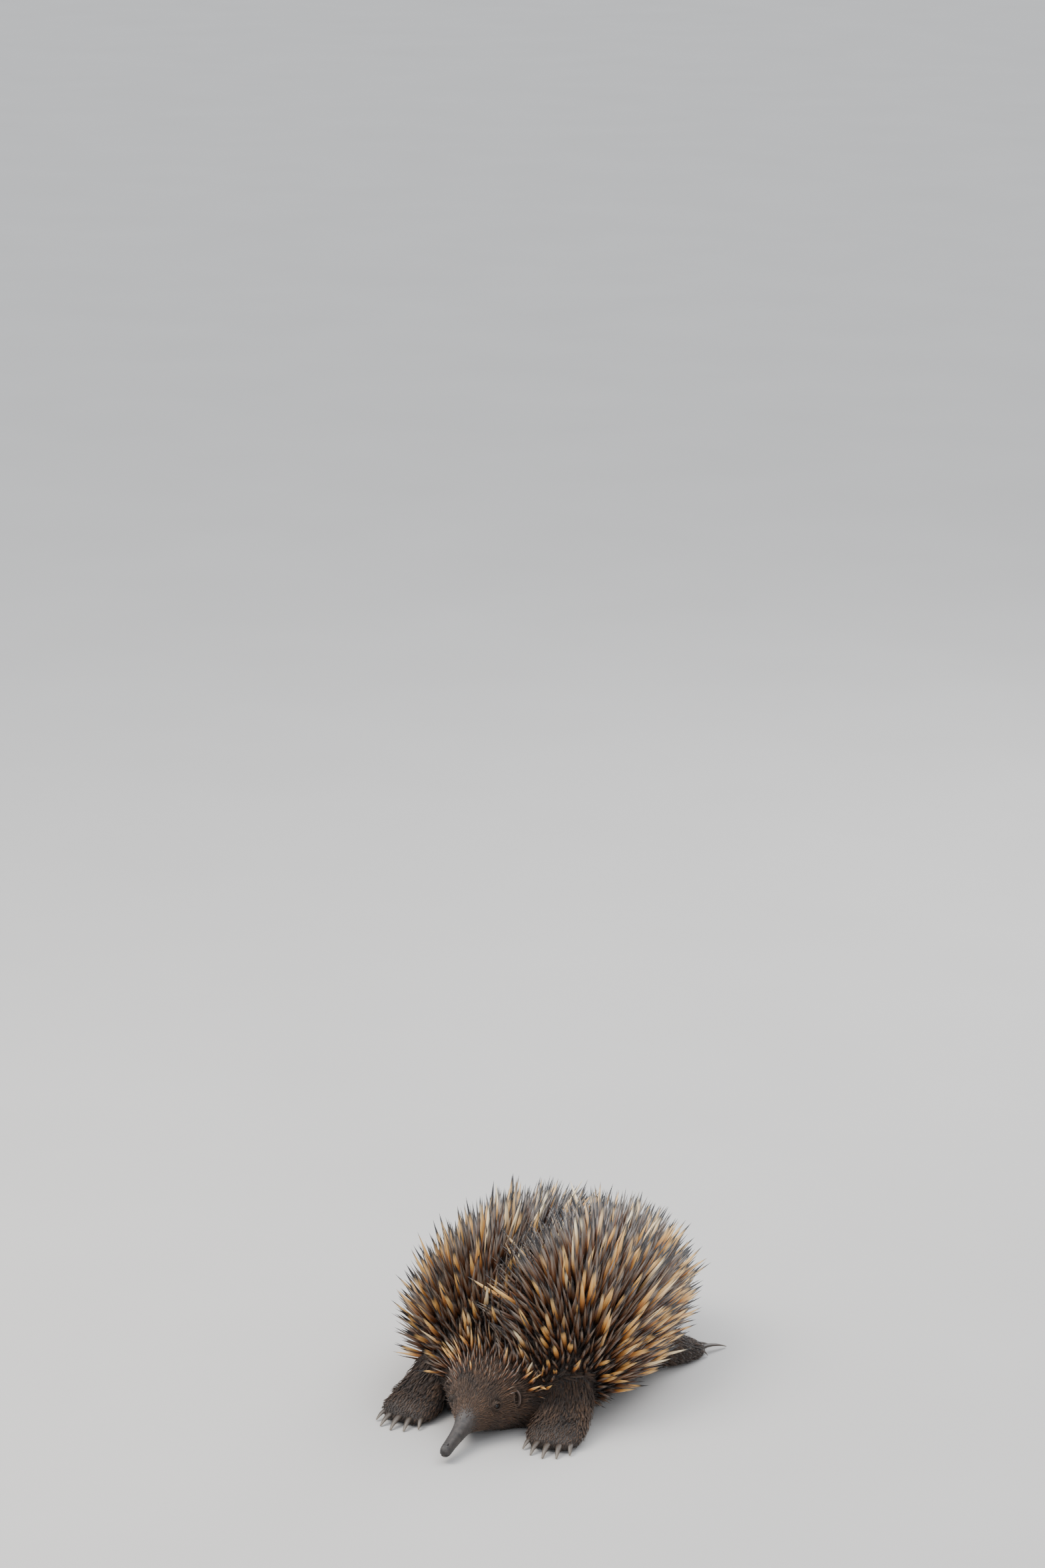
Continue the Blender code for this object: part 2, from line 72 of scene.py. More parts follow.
# Upright sections of the trunk: y, half width, top, widest level, underside, depth of the groove on the back
BELLY_SINK = -0.012
SECTIONS = (
    (-0.2300, 0.0026, 0.0132, 0.0104, 0.0076, 0.0),
    (-0.2288, 0.0042, 0.0148, 0.0106, 0.0062, 0.0),
    (-0.2255, 0.0052, 0.0166, 0.0112, 0.0056, 0.0),
    (-0.2120, 0.0056, 0.0202, 0.0144, 0.0080, 0.0),
    (-0.1970, 0.0068, 0.0256, 0.0184, 0.0104, 0.0),
    (-0.1840, 0.0098, 0.0335, 0.0236, 0.0118, 0.0),
    (-0.1730, 0.0170, 0.0430, 0.0275, 0.0100, 0.0),
    (-0.1590, 0.0262, 0.0540, 0.0300, 0.0060, 0.0),
    (-0.1450, 0.0335, 0.0620, 0.0310, 0.0020, 0.0),
    (-0.1310, 0.0420, 0.0700, 0.0320, -0.0040, 0.001),
    (-0.1200, 0.0560, 0.0820, 0.0330, -0.0100, 0.003),
    (-0.1080, 0.0710, 0.0965, 0.0350, BELLY_SINK, 0.006),
    (-0.0920, 0.0830, 0.1120, 0.0380, BELLY_SINK, 0.009),
    (-0.0650, 0.0945, 0.1255, 0.0410, BELLY_SINK, 0.012),
    (-0.0200, 0.1015, 0.1330, 0.0420, BELLY_SINK, 0.014),
    (0.0200, 0.1030, 0.1350, 0.0420, BELLY_SINK, 0.014),
    (0.0600, 0.1000, 0.1315, 0.0410, BELLY_SINK, 0.013),
    (0.0950, 0.0900, 0.1205, 0.0390, BELLY_SINK, 0.010),
    (0.1200, 0.0760, 0.1030, 0.0360, BELLY_SINK, 0.006),
    (0.1380, 0.0580, 0.0820, 0.0330, -0.0060, 0.002),
    (0.1490, 0.0390, 0.0610, 0.0290, 0.0020, 0.0),
    (0.1570, 0.0235, 0.0430, 0.0245, 0.0060, 0.0),
    (0.1680, 0.0155, 0.0325, 0.0200, 0.0070, 0.0),
    (0.1800, 0.0095, 0.0240, 0.0160, 0.0075, 0.0),
    (0.1860, 0.0030, 0.0165, 0.0135, 0.0100, 0.0),
)
SQUARENESS = 0.86
GROOVE_WIDTH = 0.028
FLOOR_GAP = 0.0014  # between the belly's skin and the floor, where flat fur lies
# How deep the skin lies inside the solids of flesh: y, depth
COAT_DEPTH = ((-0.190, 0.0), (-0.165, 0.0010), (-0.130, 0.0020), (-0.090, 0.0028))

# Stretches of the trunk's mesh: first y, last y, length of a step
STRETCHES = (
    (-0.2300, -0.2180, 0.00040),
    (-0.2180, -0.1830, 0.00065),
    (-0.1830, -0.1300, 0.00100),
    (-0.1300, 0.1500, 0.00200),
    (0.1500, 0.1860, 0.00150),
)
TRUNK_SIDES = 128

# Left limbs from inside the trunk to the foot: centre x, y, z, half width, half height
FORELEG = (
    (0.0500, -0.0760, 0.0400, 0.0260, 0.0280),
    (0.0630, -0.0990, 0.0290, 0.0260, 0.0230),
    (0.0700, -0.1180, 0.0185, 0.0245, 0.0170),
    (0.0730, -0.1350, 0.0120, 0.0255, 0.0134),
    (0.0745, -0.1510, 0.0083, 0.0260, 0.0104),
    (0.0755, -0.1620, 0.0055, 0.0215, 0.0070),
)
HINDLEG = (
    (0.0550, 0.0480, 0.0400, 0.0290, 0.0310),
    (0.0780, 0.0590, 0.0280, 0.0265, 0.0250),
    (0.0920, 0.0720, 0.0175, 0.0230, 0.0185),
    (0.1000, 0.0850, 0.0110, 0.0205, 0.0133),
    (0.1050, 0.0980, 0.0078, 0.0200, 0.0102),
    (0.1085, 0.1080, 0.0052, 0.0160, 0.0066),
)
LIMB_SIDES, LIMB_STEPS = 56, 44
LIMB_DEPTH = 0.0016  # how deep a leg's skin lies inside its solid, less at the foot
SOLE_GAP = 0.0004

# Low domes that close the trunk's ends and the feet: share of the last ring, rise over it
TRUNK_DOME = ((0.90, 0.00030), (0.72, 0.00055), (0.45, 0.00075), (0.20, 0.00085))
FOOT_ROUNDING = 0.0045
FOOT_DOME = [
    (share, rise * FOOT_ROUNDING)
    for share, rise in ((0.96, 0.25), (0.86, 0.50), (0.68, 0.75), (0.42, 0.93), (0.18, 1.0))
]

# Claws: place across the foot from -1 to 1, turn in degrees, length, width
FORE_CLAWS = (
    (-0.80, -16.0, 0.0170, 0.0060),
    (-0.42, -8.0, 0.0230, 0.0070),
    (0.00, 0.0, 0.0250, 0.0074),
    (0.42, 8.0, 0.0230, 0.0070),
    (0.80, 18.0, 0.0170, 0.0060),
)
HIND_CLAWS = (
    (-0.82, -24.0, 0.0100, 0.0050),
    (-0.44, -12.0, 0.0150, 0.0052),
    (0.00, 4.0, 0.0250, 0.0056),
    (0.44, 14.0, 0.0360, 0.0060),
    (0.82, 30.0, 0.0090, 0.0060),
)
CLAW_HEIGHT = 0.0052
CLAW_SIDES = 16
CLAW_SPREAD = 0.86  # share of the foot's width over which the claws stand
CLAW_SET_BACK = (0.004, 0.006)  # how far the middle root is behind the foot's end, and the outer ones more
TOE_BACK, TOE_DROP = 0.0015, 0.0006  # how far the middle of a toe is behind and below its claw's root
TOE_LENGTH, TOE_HEIGHT = 0.0068, 0.0040

EYE_RADIUS, EYE_Y, EYE_Z, EYE_DEPTH = 0.0042, -0.1640, 0.0350, 0.0016
LID_THICK, LID_REACH = 0.0007, 0.013
LID_OPENING = (0.0035, 0.0025)  # half width and half height of the opening between the lids
EAR_Y, EAR_Z = -0.1435, 0.0370
EAR_RIM, EAR_THICK = (0.0042, 0.0085), 0.0019
EAR_PIT_DEPTH, EAR_REACH = 0.0040, 0.020
NOSTRIL_Y, NOSTRIL_X = -0.2238, 0.0021
NOSTRIL_RADII = (0.0009, 0.0019)
BEAK_REAR = -0.150  # behind it the skin isn't creased
MOUTH_END, MOUTH_FADE = -0.1985, 0.012  # where the line of the mouth ends, and over what length it fades
MOUTH_LEVEL = 0.44  # share of the way from the underside to the widest level

# The spines stand in two fans, one behind each shoulder, and cross over the groove of the back
FAN_CENTRE = (0.052, -0.050, 0.008)
PARTING = 0.012
PARTING_STEP = 0.0130
PARTING_LEAN, LEAN_WIDTH = 0.62, 0.026
NAPE_FRONT, NAPE_BACK = -0.1480, -0.1020
CROWN_REAR, TAIL_FRONT = -0.1160, 0.1500  # the back's spines grow between these
SPINE_LENGTH = 0.052
SPINE_RADIUS = 0.0020
LOWEST_ROOT = 0.0185
# Lowest share of the height where spines grow: y, share
SPINE_HEM = (
    (-0.160, 1.05),
    (-0.156, 0.72),
    (-0.136, 0.62),
    (-0.124, 0.42),
    (-0.116, 0.12),
    (0.150, 0.10),
    (0.186, 0.15),
)
# A spine's tone from which it starts to be amber or cream, and from which it is wholly so
AMBER_EDGES = (0.822 - 0.04, 0.822 + 0.04)
CREAM_EDGES = (0.994 - 0.012, 0.994 + 0.012)
PACKING = 2.6  # points tried on an area of one spacing squared

TUFT_STRANDS, TUFT_SPREAD, TUFT_BOW, TUFT_DROP = 4, 1.9, 2.2, 3.6
COAT_BAND, CLAW_BAND = 0.0012, 0.0008  # heights below which coat and claws are pressed flat on the floor
# Where one piece of fur ends and the next begins
FACE_REAR, TAIL_FUR_FRONT, BELLY_TOP = -0.1540, 0.1400, 0.0040

# The skin's sheets on its map: left, bottom, width, height, and for the legs the step from one to the next
UV_NAME = "OFBake"
TRUNK_SHEET = (0.01, 0.005, 0.97, 0.74)
LIMB_SHEET, LIMB_SHEET_STEP = (0.01, 0.765, 0.225, 0.22), 0.245
TRUNK_START, TRUNK_LENGTH = -0.2310, 0.4190

# The camera of the photograph, its turn and height matched to the coat's outline
LENS, SENSOR = 100.0, 36.0
FRAME_HEIGHT = 2352
FRAME_MIDDLE = (784, 1176)
BODY_IN_FRAME = (821, 2060)  # where the middle of the body on the floor shows
PIXELS_PER_METRE = 1550
CAMERA_TURN, CAMERA_RISE = math.radians(24.0), math.radians(23.0)


def smooth_row(rows, at, column=0):
    """The row at a value of one column, on a smooth curve through the rows, or the first or last row."""
    last = len(rows) - 2
    step = next((i for i in range(last + 1) if at <= rows[i + 1][column]), last)
    a, b = rows[step], rows[step + 1]
    before, after = rows[max(step - 1, 0)], rows[min(step + 2, last + 1)]
    span = b[column] - a[column]
    f = min(max((at - a[column]) / span, 0.0), 1.0)
    found = []
    for k in range(len(a)):
        rise_a = (b[k] - before[k]) / (b[column] - before[column]) * span
        rise_b = (after[k] - a[k]) / (after[column] - a[column]) * span
        found.append(
            (2 * f**3 - 3 * f**2 + 1) * a[k]
            + (f**3 - 2 * f**2 + f) * rise_a
            + (3 * f**2 - 2 * f**3) * b[k]
            + (f**3 - f**2) * rise_b
        )
    return found


def eased(value, low, high):
    """How far values are from low to high, from 0 to 1, eased at both ends."""
    f = np.clip((value - low) / (high - low), 0.0, 1.0)
    return f * f * (3 - 2 * f)


def bell(value, width):
    """A bell curve, 1 where the value is 0."""
    return np.exp(-((value / width) ** 2))


def between(pairs, at):
    """Values on the straight lines through pairs of place and value."""
    return np.interp(at, [pair[0] for pair in pairs], [pair[1] for pair in pairs])


def powered(value, power):
    return math.copysign(abs(value) ** power, value)


def unit(vectors):
    return vectors / np.maximum(np.linalg.norm(vectors, axis=1, keepdims=True), 1e-9)


def section(y, sides, inset=0.0, lowest=0.0):
    """The outline of the trunk at y, anticlockwise from the left flank."""
    _, half, top, level, low, groove = smooth_row(SECTIONS, y)
    half -= inset
    top -= inset
    low += inset * 0.5
    points = []
    for i in range(sides):
        turn = 2 * math.pi * i / sides
        x = half * powered(math.cos(turn), SQUARENESS)
        rise = powered(math.sin(turn), SQUARENESS)
        if rise >= 0:
            z = level + (top - level) * rise - groove * bell(x, GROOVE_WIDTH)
        else:
            z = level + (level - low) * rise
        points.append(Vector((x, y, max(z, lowest))))
    return points


def on_trunk(y, z, side=1):
    """The point of the solid trunk's side at y and z, with the outward direction there."""

    def nearest(at, height):
        return min((p for p in section(at, 120) if p.x > 0), key=lambda p: abs(p.z - height))

    step = 0.004
    here = nearest(y, z)
    out = (nearest(y, z + step) - here).cross(nearest(y - step, z) - here).normalized()
    if out.x < 0:
        out.negate()
    return Vector((side * here.x, y, z)), Vector((side * out.x, out.y, out.z))


def loft(rings, closed=False):
    """A closed mesh through rings of as many points. Each end is drawn to a point, unless the last ring
    joins the first."""
    bm = bmesh.new()
    made = [[bm.verts.new(point) for point in ring] for ring in rings]
    for near, far in zip(made, made[1:] + made[:1] if closed else made[1:]):
        for i in range(len(near)):
            j = (i + 1) % len(near)
            bm.faces.new((near[i], near[j], far[j], far[i]))
    for ring in () if closed else (made[0], made[-1]):
        middle = bm.verts.new(sum((vert.co for vert in ring), Vector()) / len(ring))
        for i in range(len(ring)):
            bm.faces.new((ring[i], ring[(i + 1) % len(ring)], middle))
    bmesh.ops.recalc_face_normals(bm, faces=bm.faces)
    return bm


def ball(around, levels, radius=1.0):
    """A closed ball with its poles on Z, with its points and faces in the same order each run."""
    rings = []
    for i in range(1, levels):
        fall = math.pi * i / levels
        ring = []
        for j in range(around):
            turn = 2 * math.pi * j / around
            flat = radius * math.sin(fall)
            ring.append(Vector((flat * math.cos(turn), flat * math.sin(turn), radius * math.cos(fall))))
        rings.append(ring)
    bm = loft(rings)
    bm.verts.ensure_lookup_table()
    bm.verts[-2].co.z, bm.verts[-1].co.z = radius, -radius
    return bm


def add_object(name, data):
    """A new object in the scene that shows a mesh, a lamp or a camera."""
    made = bpy.data.objects.new(name, data)
    bpy.context.scene.collection.objects.link(made)
    return made


def as_object(name, bm):
    mesh = bpy.data.meshes.new(name)
    bm.to_mesh(mesh)
    bm.free()
    return add_object(name, mesh)


def dress(piece, material):
    """Shades a piece smoothly, with one material."""
    for polygon in piece.data.polygons:
        polygon.use_smooth = True
    piece.data.materials.clear()
    piece.data.materials.append(material)


def drawn_in(ring, shares, towards):
    """Rings that close a ring over a low dome."""
    middle = sum(ring, Vector()) / len(ring)
    return [
        [middle + (point - middle) * share + towards * rise for point in ring] for share, rise in shares
    ]


def trunk_rings():
    stations = []
    for first, last, step in STRETCHES:
        count = round((last - first) / step)
        stations += [first + (last - first) * i / count for i in range(count)]
    stations.append(STRETCHES[-1][1])
    rings = [section(y, TRUNK_SIDES, float(between(COAT_DEPTH, y)), FLOOR_GAP) for y in stations]
    start = drawn_in(rings[0], reversed(TRUNK_DOME), Vector((0, -1, 0)))
    return start + rings + drawn_in(rings[-1], TRUNK_DOME, Vector((0, 1, 0)))


def mirrored(row, side):
    return (side * row[0], *row[1:])


def limb_places(rows, side, count):
    """Rows at even steps down a limb: length so far, centre, half width, half height."""
    spans = [0.0]
    for a, b in zip(rows, rows[1:]):
        spans.append(spans[-1] + (Vector(b[:3]) - Vector(a[:3])).length)
    keyed = [(span, *mirrored(row, side)) for span, row in zip(spans, rows)]
    return [smooth_row(keyed, spans[-1] * i / count) for i in range(count + 1)]


def limb_rings(rows, side):
    places = limb_places(rows, side, LIMB_STEPS)
    rings = []
    for i, place in enumerate(places):
        ahead = Vector(places[min(i + 1, LIMB_STEPS)][1:4])
        behind = Vector(places[max(i - 1, 0)][1:4])
        along = (ahead - behind).normalized()
        across = along.cross(UP).normalized()
        up = across.cross(along).normalized()
        inset = LIMB_DEPTH * (1 - 0.6 * i / LIMB_STEPS)
        centre, half_width, half_height = Vector(place[1:4]), place[4] - inset, place[5] - inset
        ring = []
        for j in range(LIMB_SIDES):
            turn = 2 * math.pi * j / LIMB_SIDES
            point = centre + across * half_width * math.cos(turn) + up * half_height * math.sin(turn)
            point.z = max(point.z, SOLE_GAP)
            ring.append(point)
        rings.append(ring)
    flat = Vector((along.x, along.y, 0)).normalized()
    return rings + drawn_in(rings[-1], FOOT_DOME, flat)


def claw_roots(rows, claws, side):
    """For each claw of a foot: its root, level heading, length and width."""
    end, before = Vector(mirrored(rows[-1], side)[:3]), Vector(mirrored(rows[-2], side)[:3])
    forward = end - before
    forward.z = 0
    forward.normalize()
    across = Vector((forward.y, -forward.x, 0)) * side
    spread = rows[-2][3]
    found = []
    for place, turn, length, width in claws:
        heading = Matrix.Rotation(-math.radians(turn) * side, 3, "Z") @ forward
        set_back = CLAW_SET_BACK[0] + CLAW_SET_BACK[1] * place**2
        root = end + across * place * spread * CLAW_SPREAD - forward * set_back
        root.z = CLAW_HEIGHT
        found.append((root, heading, length, width))
    return found


# The legs in the order of their parts: name, rows, side, roots of the claws
LIMBS = []
for word, side in SIDES:
    for limb, rows, claws in (("fore", FORELEG, FORE_CLAWS), ("hind", HINDLEG, HIND_CLAWS)):
        LIMBS.append((limb + "_" + word, rows, side, claw_roots(rows, claws, side)))


def toe(root, heading, width):
    """A rounded pad that carries the root of a claw."""
    bm = ball(20, 12)
    across = Vector((-heading.y, heading.x, 0))
    turn = Matrix((across, heading, UP)).transposed().to_4x4()
    middle = root - heading * TOE_BACK
    middle.z = CLAW_HEIGHT - TOE_DROP
    size = Matrix.Diagonal((width * 0.56 + 0.0006, TOE_LENGTH, TOE_HEIGHT, 1.0))
    bm.transform(Matrix.Translation(middle) @ turn @ size)
    return bm


def evaluated_mesh(made):
    """What an object's modifiers make of it, as a plain mesh."""
    bpy.context.view_layer.update()
    graph = bpy.context.evaluated_depsgraph_get()
    shown = made.evaluated_get(graph)
    return bpy.data.meshes.new_from_object(shown, preserve_all_data_layers=True, depsgraph=graph)


def unite(made, bms):
    """Fuses closed meshes into an object, one Boolean with a collection that is then removed."""
    extras = bpy.data.collections.new("extras")
    bpy.context.scene.collection.children.link(extras)
    for bm in bms:
        extra = as_object("extra", bm)
        bpy.context.scene.collection.objects.unlink(extra)
        extras.objects.link(extra)
    change = made.modifiers.new("Fuse", "BOOLEAN")
    change.operation = "UNION"
    change.solver = "MANIFOLD"
    change.operand_type = "COLLECTION"
    change.collection = extras
    mesh = evaluated_mesh(made)
    made.modifiers.remove(change)
    made.data = mesh
    for extra in list(extras.objects):
        bpy.data.objects.remove(extra, do_unlink=True)
    bpy.data.collections.remove(extras)


def eye_place(side):
    point, out = on_trunk(EYE_Y, EYE_Z, side)
    return point - out * EYE_DEPTH, out


def flat_frame(out, side):
    """The ways forward and up in the plane that faces out."""
    up = (UP - out * out.z).normalized()
    forward = up.cross(out) * -side
    return forward.normalized(), up


def refine_near(bm, places, reach, cuts):
    """Divides the faces near some places."""
    bm.edges.index_update()
    edges = set()
    for face in bm.faces:
        middle = face.calc_center_median()
        if any((middle - place).length < reach for place in places):
            edges.update(face.edges)
    in_order = sorted(edges, key=lambda edge: edge.index)
    bmesh.ops.subdivide_edges(bm, edges=in_order, cuts=cuts, use_grid_fill=True)


def soft_max(a, b, width):
    """The larger of two heights, rounded where they meet."""
    h = max(width - abs(a - b), 0.0) / width
    return max(a, b) + h * h * width * 0.25


def sculpt_eye(bm, side):
    """Raises the lids over the eye, with the opening between them and the folds around."""
    centre, out = eye_place(side)
    forward, up = flat_frame(out, side)
    outer = EYE_RADIUS + LID_THICK
    for vert in bm.verts:
        away = vert.co - centre
        if away.length > LID_REACH:
            continue
        u, v, height = away.dot(forward), away.dot(up), away.dot(out)
        r = math.hypot(u, v)
        lid = math.sqrt(max(outer**2 - r**2, 0.0)) if r < outer else -0.004
        wanted = soft_max(height, lid, 0.0014)
        narrowing = 1 - 0.30 * (u / LID_OPENING[0]) ** 2
        span = math.hypot(u / LID_OPENING[0], v / (LID_OPENING[1] * max(narrowing, 0.3)))
        wanted += 0.00035 * bell(span - 1.14, 0.13)
        if r < EYE_RADIUS:
            inner = math.sqrt(EYE_RADIUS**2 - r**2) - 0.0013
            wanted += (inner - wanted) * (1 - eased(span, 0.92, 1.04))
        fold, depth = (0.0055, 0.00055) if v > 0 else (0.0053, 0.00035)
        wanted -= depth * bell(r - fold, 0.00045) * min(abs(v) / 0.003, 1.0)
        brow = bell(r - 0.0078, 0.0013) * max(v / 0.0078, 0.0)
        wanted += 0.0007 * brow - 0.0003 * bell(r - 0.0092, 0.0006) * max(v / 0.009, 0.0)
        vert.co += out * float(wanted - height)


def sculpt_ear(bm, side):
    """Sinks the ear's passage, with a soft swelling around it."""
    point, out = on_trunk(EAR_Y, EAR_Z, side)
    forward, up = flat_frame(out, side)
    for vert in bm.verts:
        away = vert.co - point
        if away.length > EAR_REACH:
            continue
        span = math.hypot(away.dot(forward) / EAR_RIM[0], away.dot(up) / EAR_RIM[1])
        move = -EAR_PIT_DEPTH * (1 - eased(span, 0.25, 0.98)) + 0.0012 * bell(span - 1.45, 0.35)
        vert.co += out * float(move)


def wavy(a, b, c):
    """A smooth uneven value from -1 to 1."""
    return (
        math.sin(2.1 * a + 1.3 * math.sin(1.7 * b + 0.4))
        + math.sin(1.3 * b + 1.1 * math.sin(2.3 * c + 1.9))
        + math.sin(1.9 * c + 1.5 * math.sin(1.1 * a + 2.7))
    ) / 3


def mouth_share(y, z, level, low, above, width):
    """How near points are to the mouth's line, or to one above it, fading out at the mouth's corner."""
    line = low + MOUTH_LEVEL * (level - low)
    return bell(z - line - above, width) * (1 - eased(y, MOUTH_END - MOUTH_FADE, MOUTH_END))


def nostril_span(x, y):
    """How far points are from the nearer nostril's middle, 1 at its edge."""
    return np.hypot((np.abs(x) - NOSTRIL_X) / NOSTRIL_RADII[0], (y - NOSTRIL_Y) / NOSTRIL_RADII[1])


def sculpt_beak(bm):
    """Cuts the line of the mouth and the nostrils, and raises fine folds across the beak."""
    bm.normal_update()
    changed = [vert for vert in bm.verts if vert.co.y <= BEAK_REAR]
    moves = []
    for vert in changed:
        x, y, z = vert.co
        _, _, _, level, low, _ = smooth_row(SECTIONS, y)
        move = -0.00062 * mouth_share(y, z, level, low, 0.0, 0.00038)
        move += 0.00012 * mouth_share(y, z, level, low, 0.0009, 0.0006)
        if z > level:
            span = nostril_span(x, y)
            move -= 0.0010 * (1 - eased(span, 0.35, 1.1))
            move += 0.00025 * bell(span - 1.5, 0.35)
        folds = wavy(y * 2600 + 0.6 * wavy(x * 300, z * 300, 0), x * 260, z * 240)
        strength = eased(y, -0.226, -0.205) * (1 - eased(y, -0.176, BEAK_REAR))
        move += 0.00011 * folds * strength
        move += 0.00022 * wavy(x * 420, y * 380, z * 420) * strength
        moves.append(vert.normal * float(move))
    for vert, move in zip(changed, moves):
        vert.co += move


def smooth_joins(mesh, rounds=9):
    """Evens out the creases where the legs leave the trunk and the toes leave the feet."""
    sharpest, front, inside, lowest = 0.42, -0.168, 0.045, 0.0018
    bm = bmesh.new()
    bm.from_mesh(mesh)
    bmesh.ops.triangulate(bm, faces=[face for face in bm.faces if len(face.verts) > 4])
    zone = set()
    for edge in bm.edges:
        if len(edge.link_faces) == 2 and edge.calc_face_angle(0.0) > sharpest:
            ends = [vert.co for vert in edge.verts]
            if all(end.y > front and abs(end.x) > inside and end.z > lowest for end in ends):
                zone.update(edge.verts)
    for _ in range(4):
        zone.update(other for vert in list(zone) for edge in vert.link_edges for other in edge.verts)
    bm.verts.index_update()
    zone = sorted((vert for vert in zone if vert.co.z > lowest), key=lambda vert: vert.index)
    for _ in range(rounds):
        bmesh.ops.smooth_vert(bm, verts=zone, factor=0.5, use_axis_x=True, use_axis_y=True, use_axis_z=True)
    bmesh.ops.recalc_face_normals(bm, faces=bm.faces)
    bm.to_mesh(mesh)
    bm.free()


def make_skin():
    """One skin over the trunk and the four legs, with lids, ear passages, nostrils and mouth."""
    trunk = loft(trunk_rings())
    refine_near(trunk, [eye_place(side)[0] for _, side in SIDES], reach=0.0100, cuts=3)
    refine_near(trunk, [on_trunk(EAR_Y, EAR_Z, side)[0] for _, side in SIDES], reach=0.0130, cuts=1)
    sculpt_beak(trunk)
    for _, side in SIDES:
        sculpt_ear(trunk, side)
        sculpt_eye(trunk, side)
    bmesh.ops.triangulate(trunk, faces=[face for face in trunk.faces if len(face.verts) > 4])
    trees = [BVHTree.FromBMesh(trunk)]
    extras = []
    for _, rows, side, roots in LIMBS:
        limb = loft(limb_rings(rows, side))
        trees.append(BVHTree.FromBMesh(limb))
        extras.append(limb)
        extras += [toe(root, heading, width) for root, heading, _, width in roots]
    skin = as_object("skin", trunk)
    unite(skin, extras)
    smooth_joins(skin.data)
    return skin, trees


skin, part_trees = make_skin()
skin_points = np.array([vert.co for vert in skin.data.vertices])
skin_outs = np.array([vert.normal for vert in skin.data.vertices])
x, y, z = skin_points.T
_, _, tops, levels, undersides, _ = np.array([smooth_row(SECTIONS, at) for at in y]).T


def nearest_parts(points, trees):
    """For each point the number of the part it is nearest to: 0 the trunk, then the limbs."""
    return np.array([np.argmin([tree.find_nearest(Vector(point))[3] for tree in trees]) for point in points])


skin_parts = nearest_parts(skin_points, part_trees)
on_body = skin_parts == 0


def limb_axes(points, rows, side):
    """For each point its share of the way down a limb, the limb's way there, and its turn about it."""
    line = np.array([place[1:4] for place in limb_places(rows, side, 40)])
    starts, ways = line[:-1], np.diff(line, axis=0)
    lengths = np.linalg.norm(ways, axis=1)
    best_far = np.full(len(points), 1e9)
    share = np.zeros(len(points))
    way = np.zeros((len(points), 3))
    near = np.zeros((len(points), 3))
    for i, (start, step) in enumerate(zip(starts, ways)):
        f = np.clip(((points - start) @ step) / lengths[i] ** 2, 0, 1)
        there = start + f[:, None] * step
        far = np.linalg.norm(points - there, axis=1)
        closer = far < best_far
        best_far[closer] = far[closer]
        share[closer] = (i + f[closer]) / len(ways)
        way[closer] = step / lengths[i]
        near[closer] = there[closer]
    away = points - near
    across = unit(np.cross(way, (0.0, 0.0, 1.0)))
    up = np.cross(across, way)
    turn = np.arctan2((away * up).sum(1), (away * across).sum(1))
    return share, way, turn


limb_share = np.zeros(len(x))
limb_way = np.zeros((len(x), 3))
limb_turn = np.zeros(len(x))
for number, (_, rows, side, _) in enumerate(LIMBS, start=1):
    own = skin_parts == number
    limb_share[own], limb_way[own], limb_turn[own] = limb_axes(skin_points[own], rows, side)


def unwrap_skin():
    """Lays the trunk out as one sheet, turn by length, and each leg as a sheet above it."""
    mesh = skin.data
    layer = mesh.uv_layers.new(name=UV_NAME)
    turns = np.arctan2(z - levels, x)
    trunk_u = ((turns + math.pi / 2) / (2 * math.pi)) % 1.0
    trunk_v = (y - TRUNK_START) / TRUNK_LENGTH
    limb_u = (limb_turn + math.pi) / (2 * math.pi)
    places = np.zeros((len(mesh.loops), 2))
    for polygon in mesh.polygons:
        loops = list(polygon.loop_indices)
        verts = [mesh.loops[i].vertex_index for i in loops]
        part = int(skin_parts[verts[0]])
        u, v = (trunk_u, trunk_v) if part == 0 else (limb_u, limb_share)
        left, bottom, width, height = TRUNK_SHEET if part == 0 else LIMB_SHEET
        if part > 0:
            left += LIMB_SHEET_STEP * (part - 1)
        around = u[verts]
        if around.max() - around.min() > 0.5:
            around = np.where(around < 0.5, around + 1.0, around)
        places[loops, 0] = left + width * around
        places[loops, 1] = bottom + height * v[verts]
    layer.data.foreach_set("uv", places.astype(np.float32).ravel())


unwrap_skin()

# The parting runs on the left of the middle, and comes to it at the rear
parting = PARTING * eased(y, TAIL_FRONT, 0.0)
front_share = 1 - eased(y, 0.000, 0.090)


def spine_lie():
    """The way spines point: away from their fan's centre, and up and back on the crown and the tail."""
    centres = np.tile(np.array(FAN_CENTRE), (len(x), 1))
    centres[:, 0] = np.where(x < parting, -FAN_CENTRE[0], FAN_CENTRE[0])
    fan = unit(skin_points - centres)
    by_parting = bell(x - parting, LEAN_WIDTH) * front_share
    held_back = 0.75 * by_parting * np.maximum(fan[:, 0], 0.0)
    fan[:, 0] -= np.where(x >= parting, PARTING_LEAN * by_parting, held_back)
    rear = eased(y, 0.105, 0.150)[:, None]
    fan = unit(unit(fan) * (1 - 0.55 * rear) + np.array((0.0, 0.62, 0.30)) * rear * 0.55)
    nape = skin_outs * 0.62
    nape[:, 1] += 0.50
    nape[:, 2] += 0.05 + 0.30 * eased(z, 0.030, 0.100)
    back = eased(y, NAPE_FRONT, NAPE_BACK)[:, None]
    lie = unit(unit(nape) * (1 - back) + fan * back + skin_outs * 0.12)
    tail = eased(y, 0.140, 0.160)[:, None]
    return unit(lie * (1 - tail) + unit(skin_outs * 0.55 + np.array((0.0, 0.85, 0.20))) * tail)


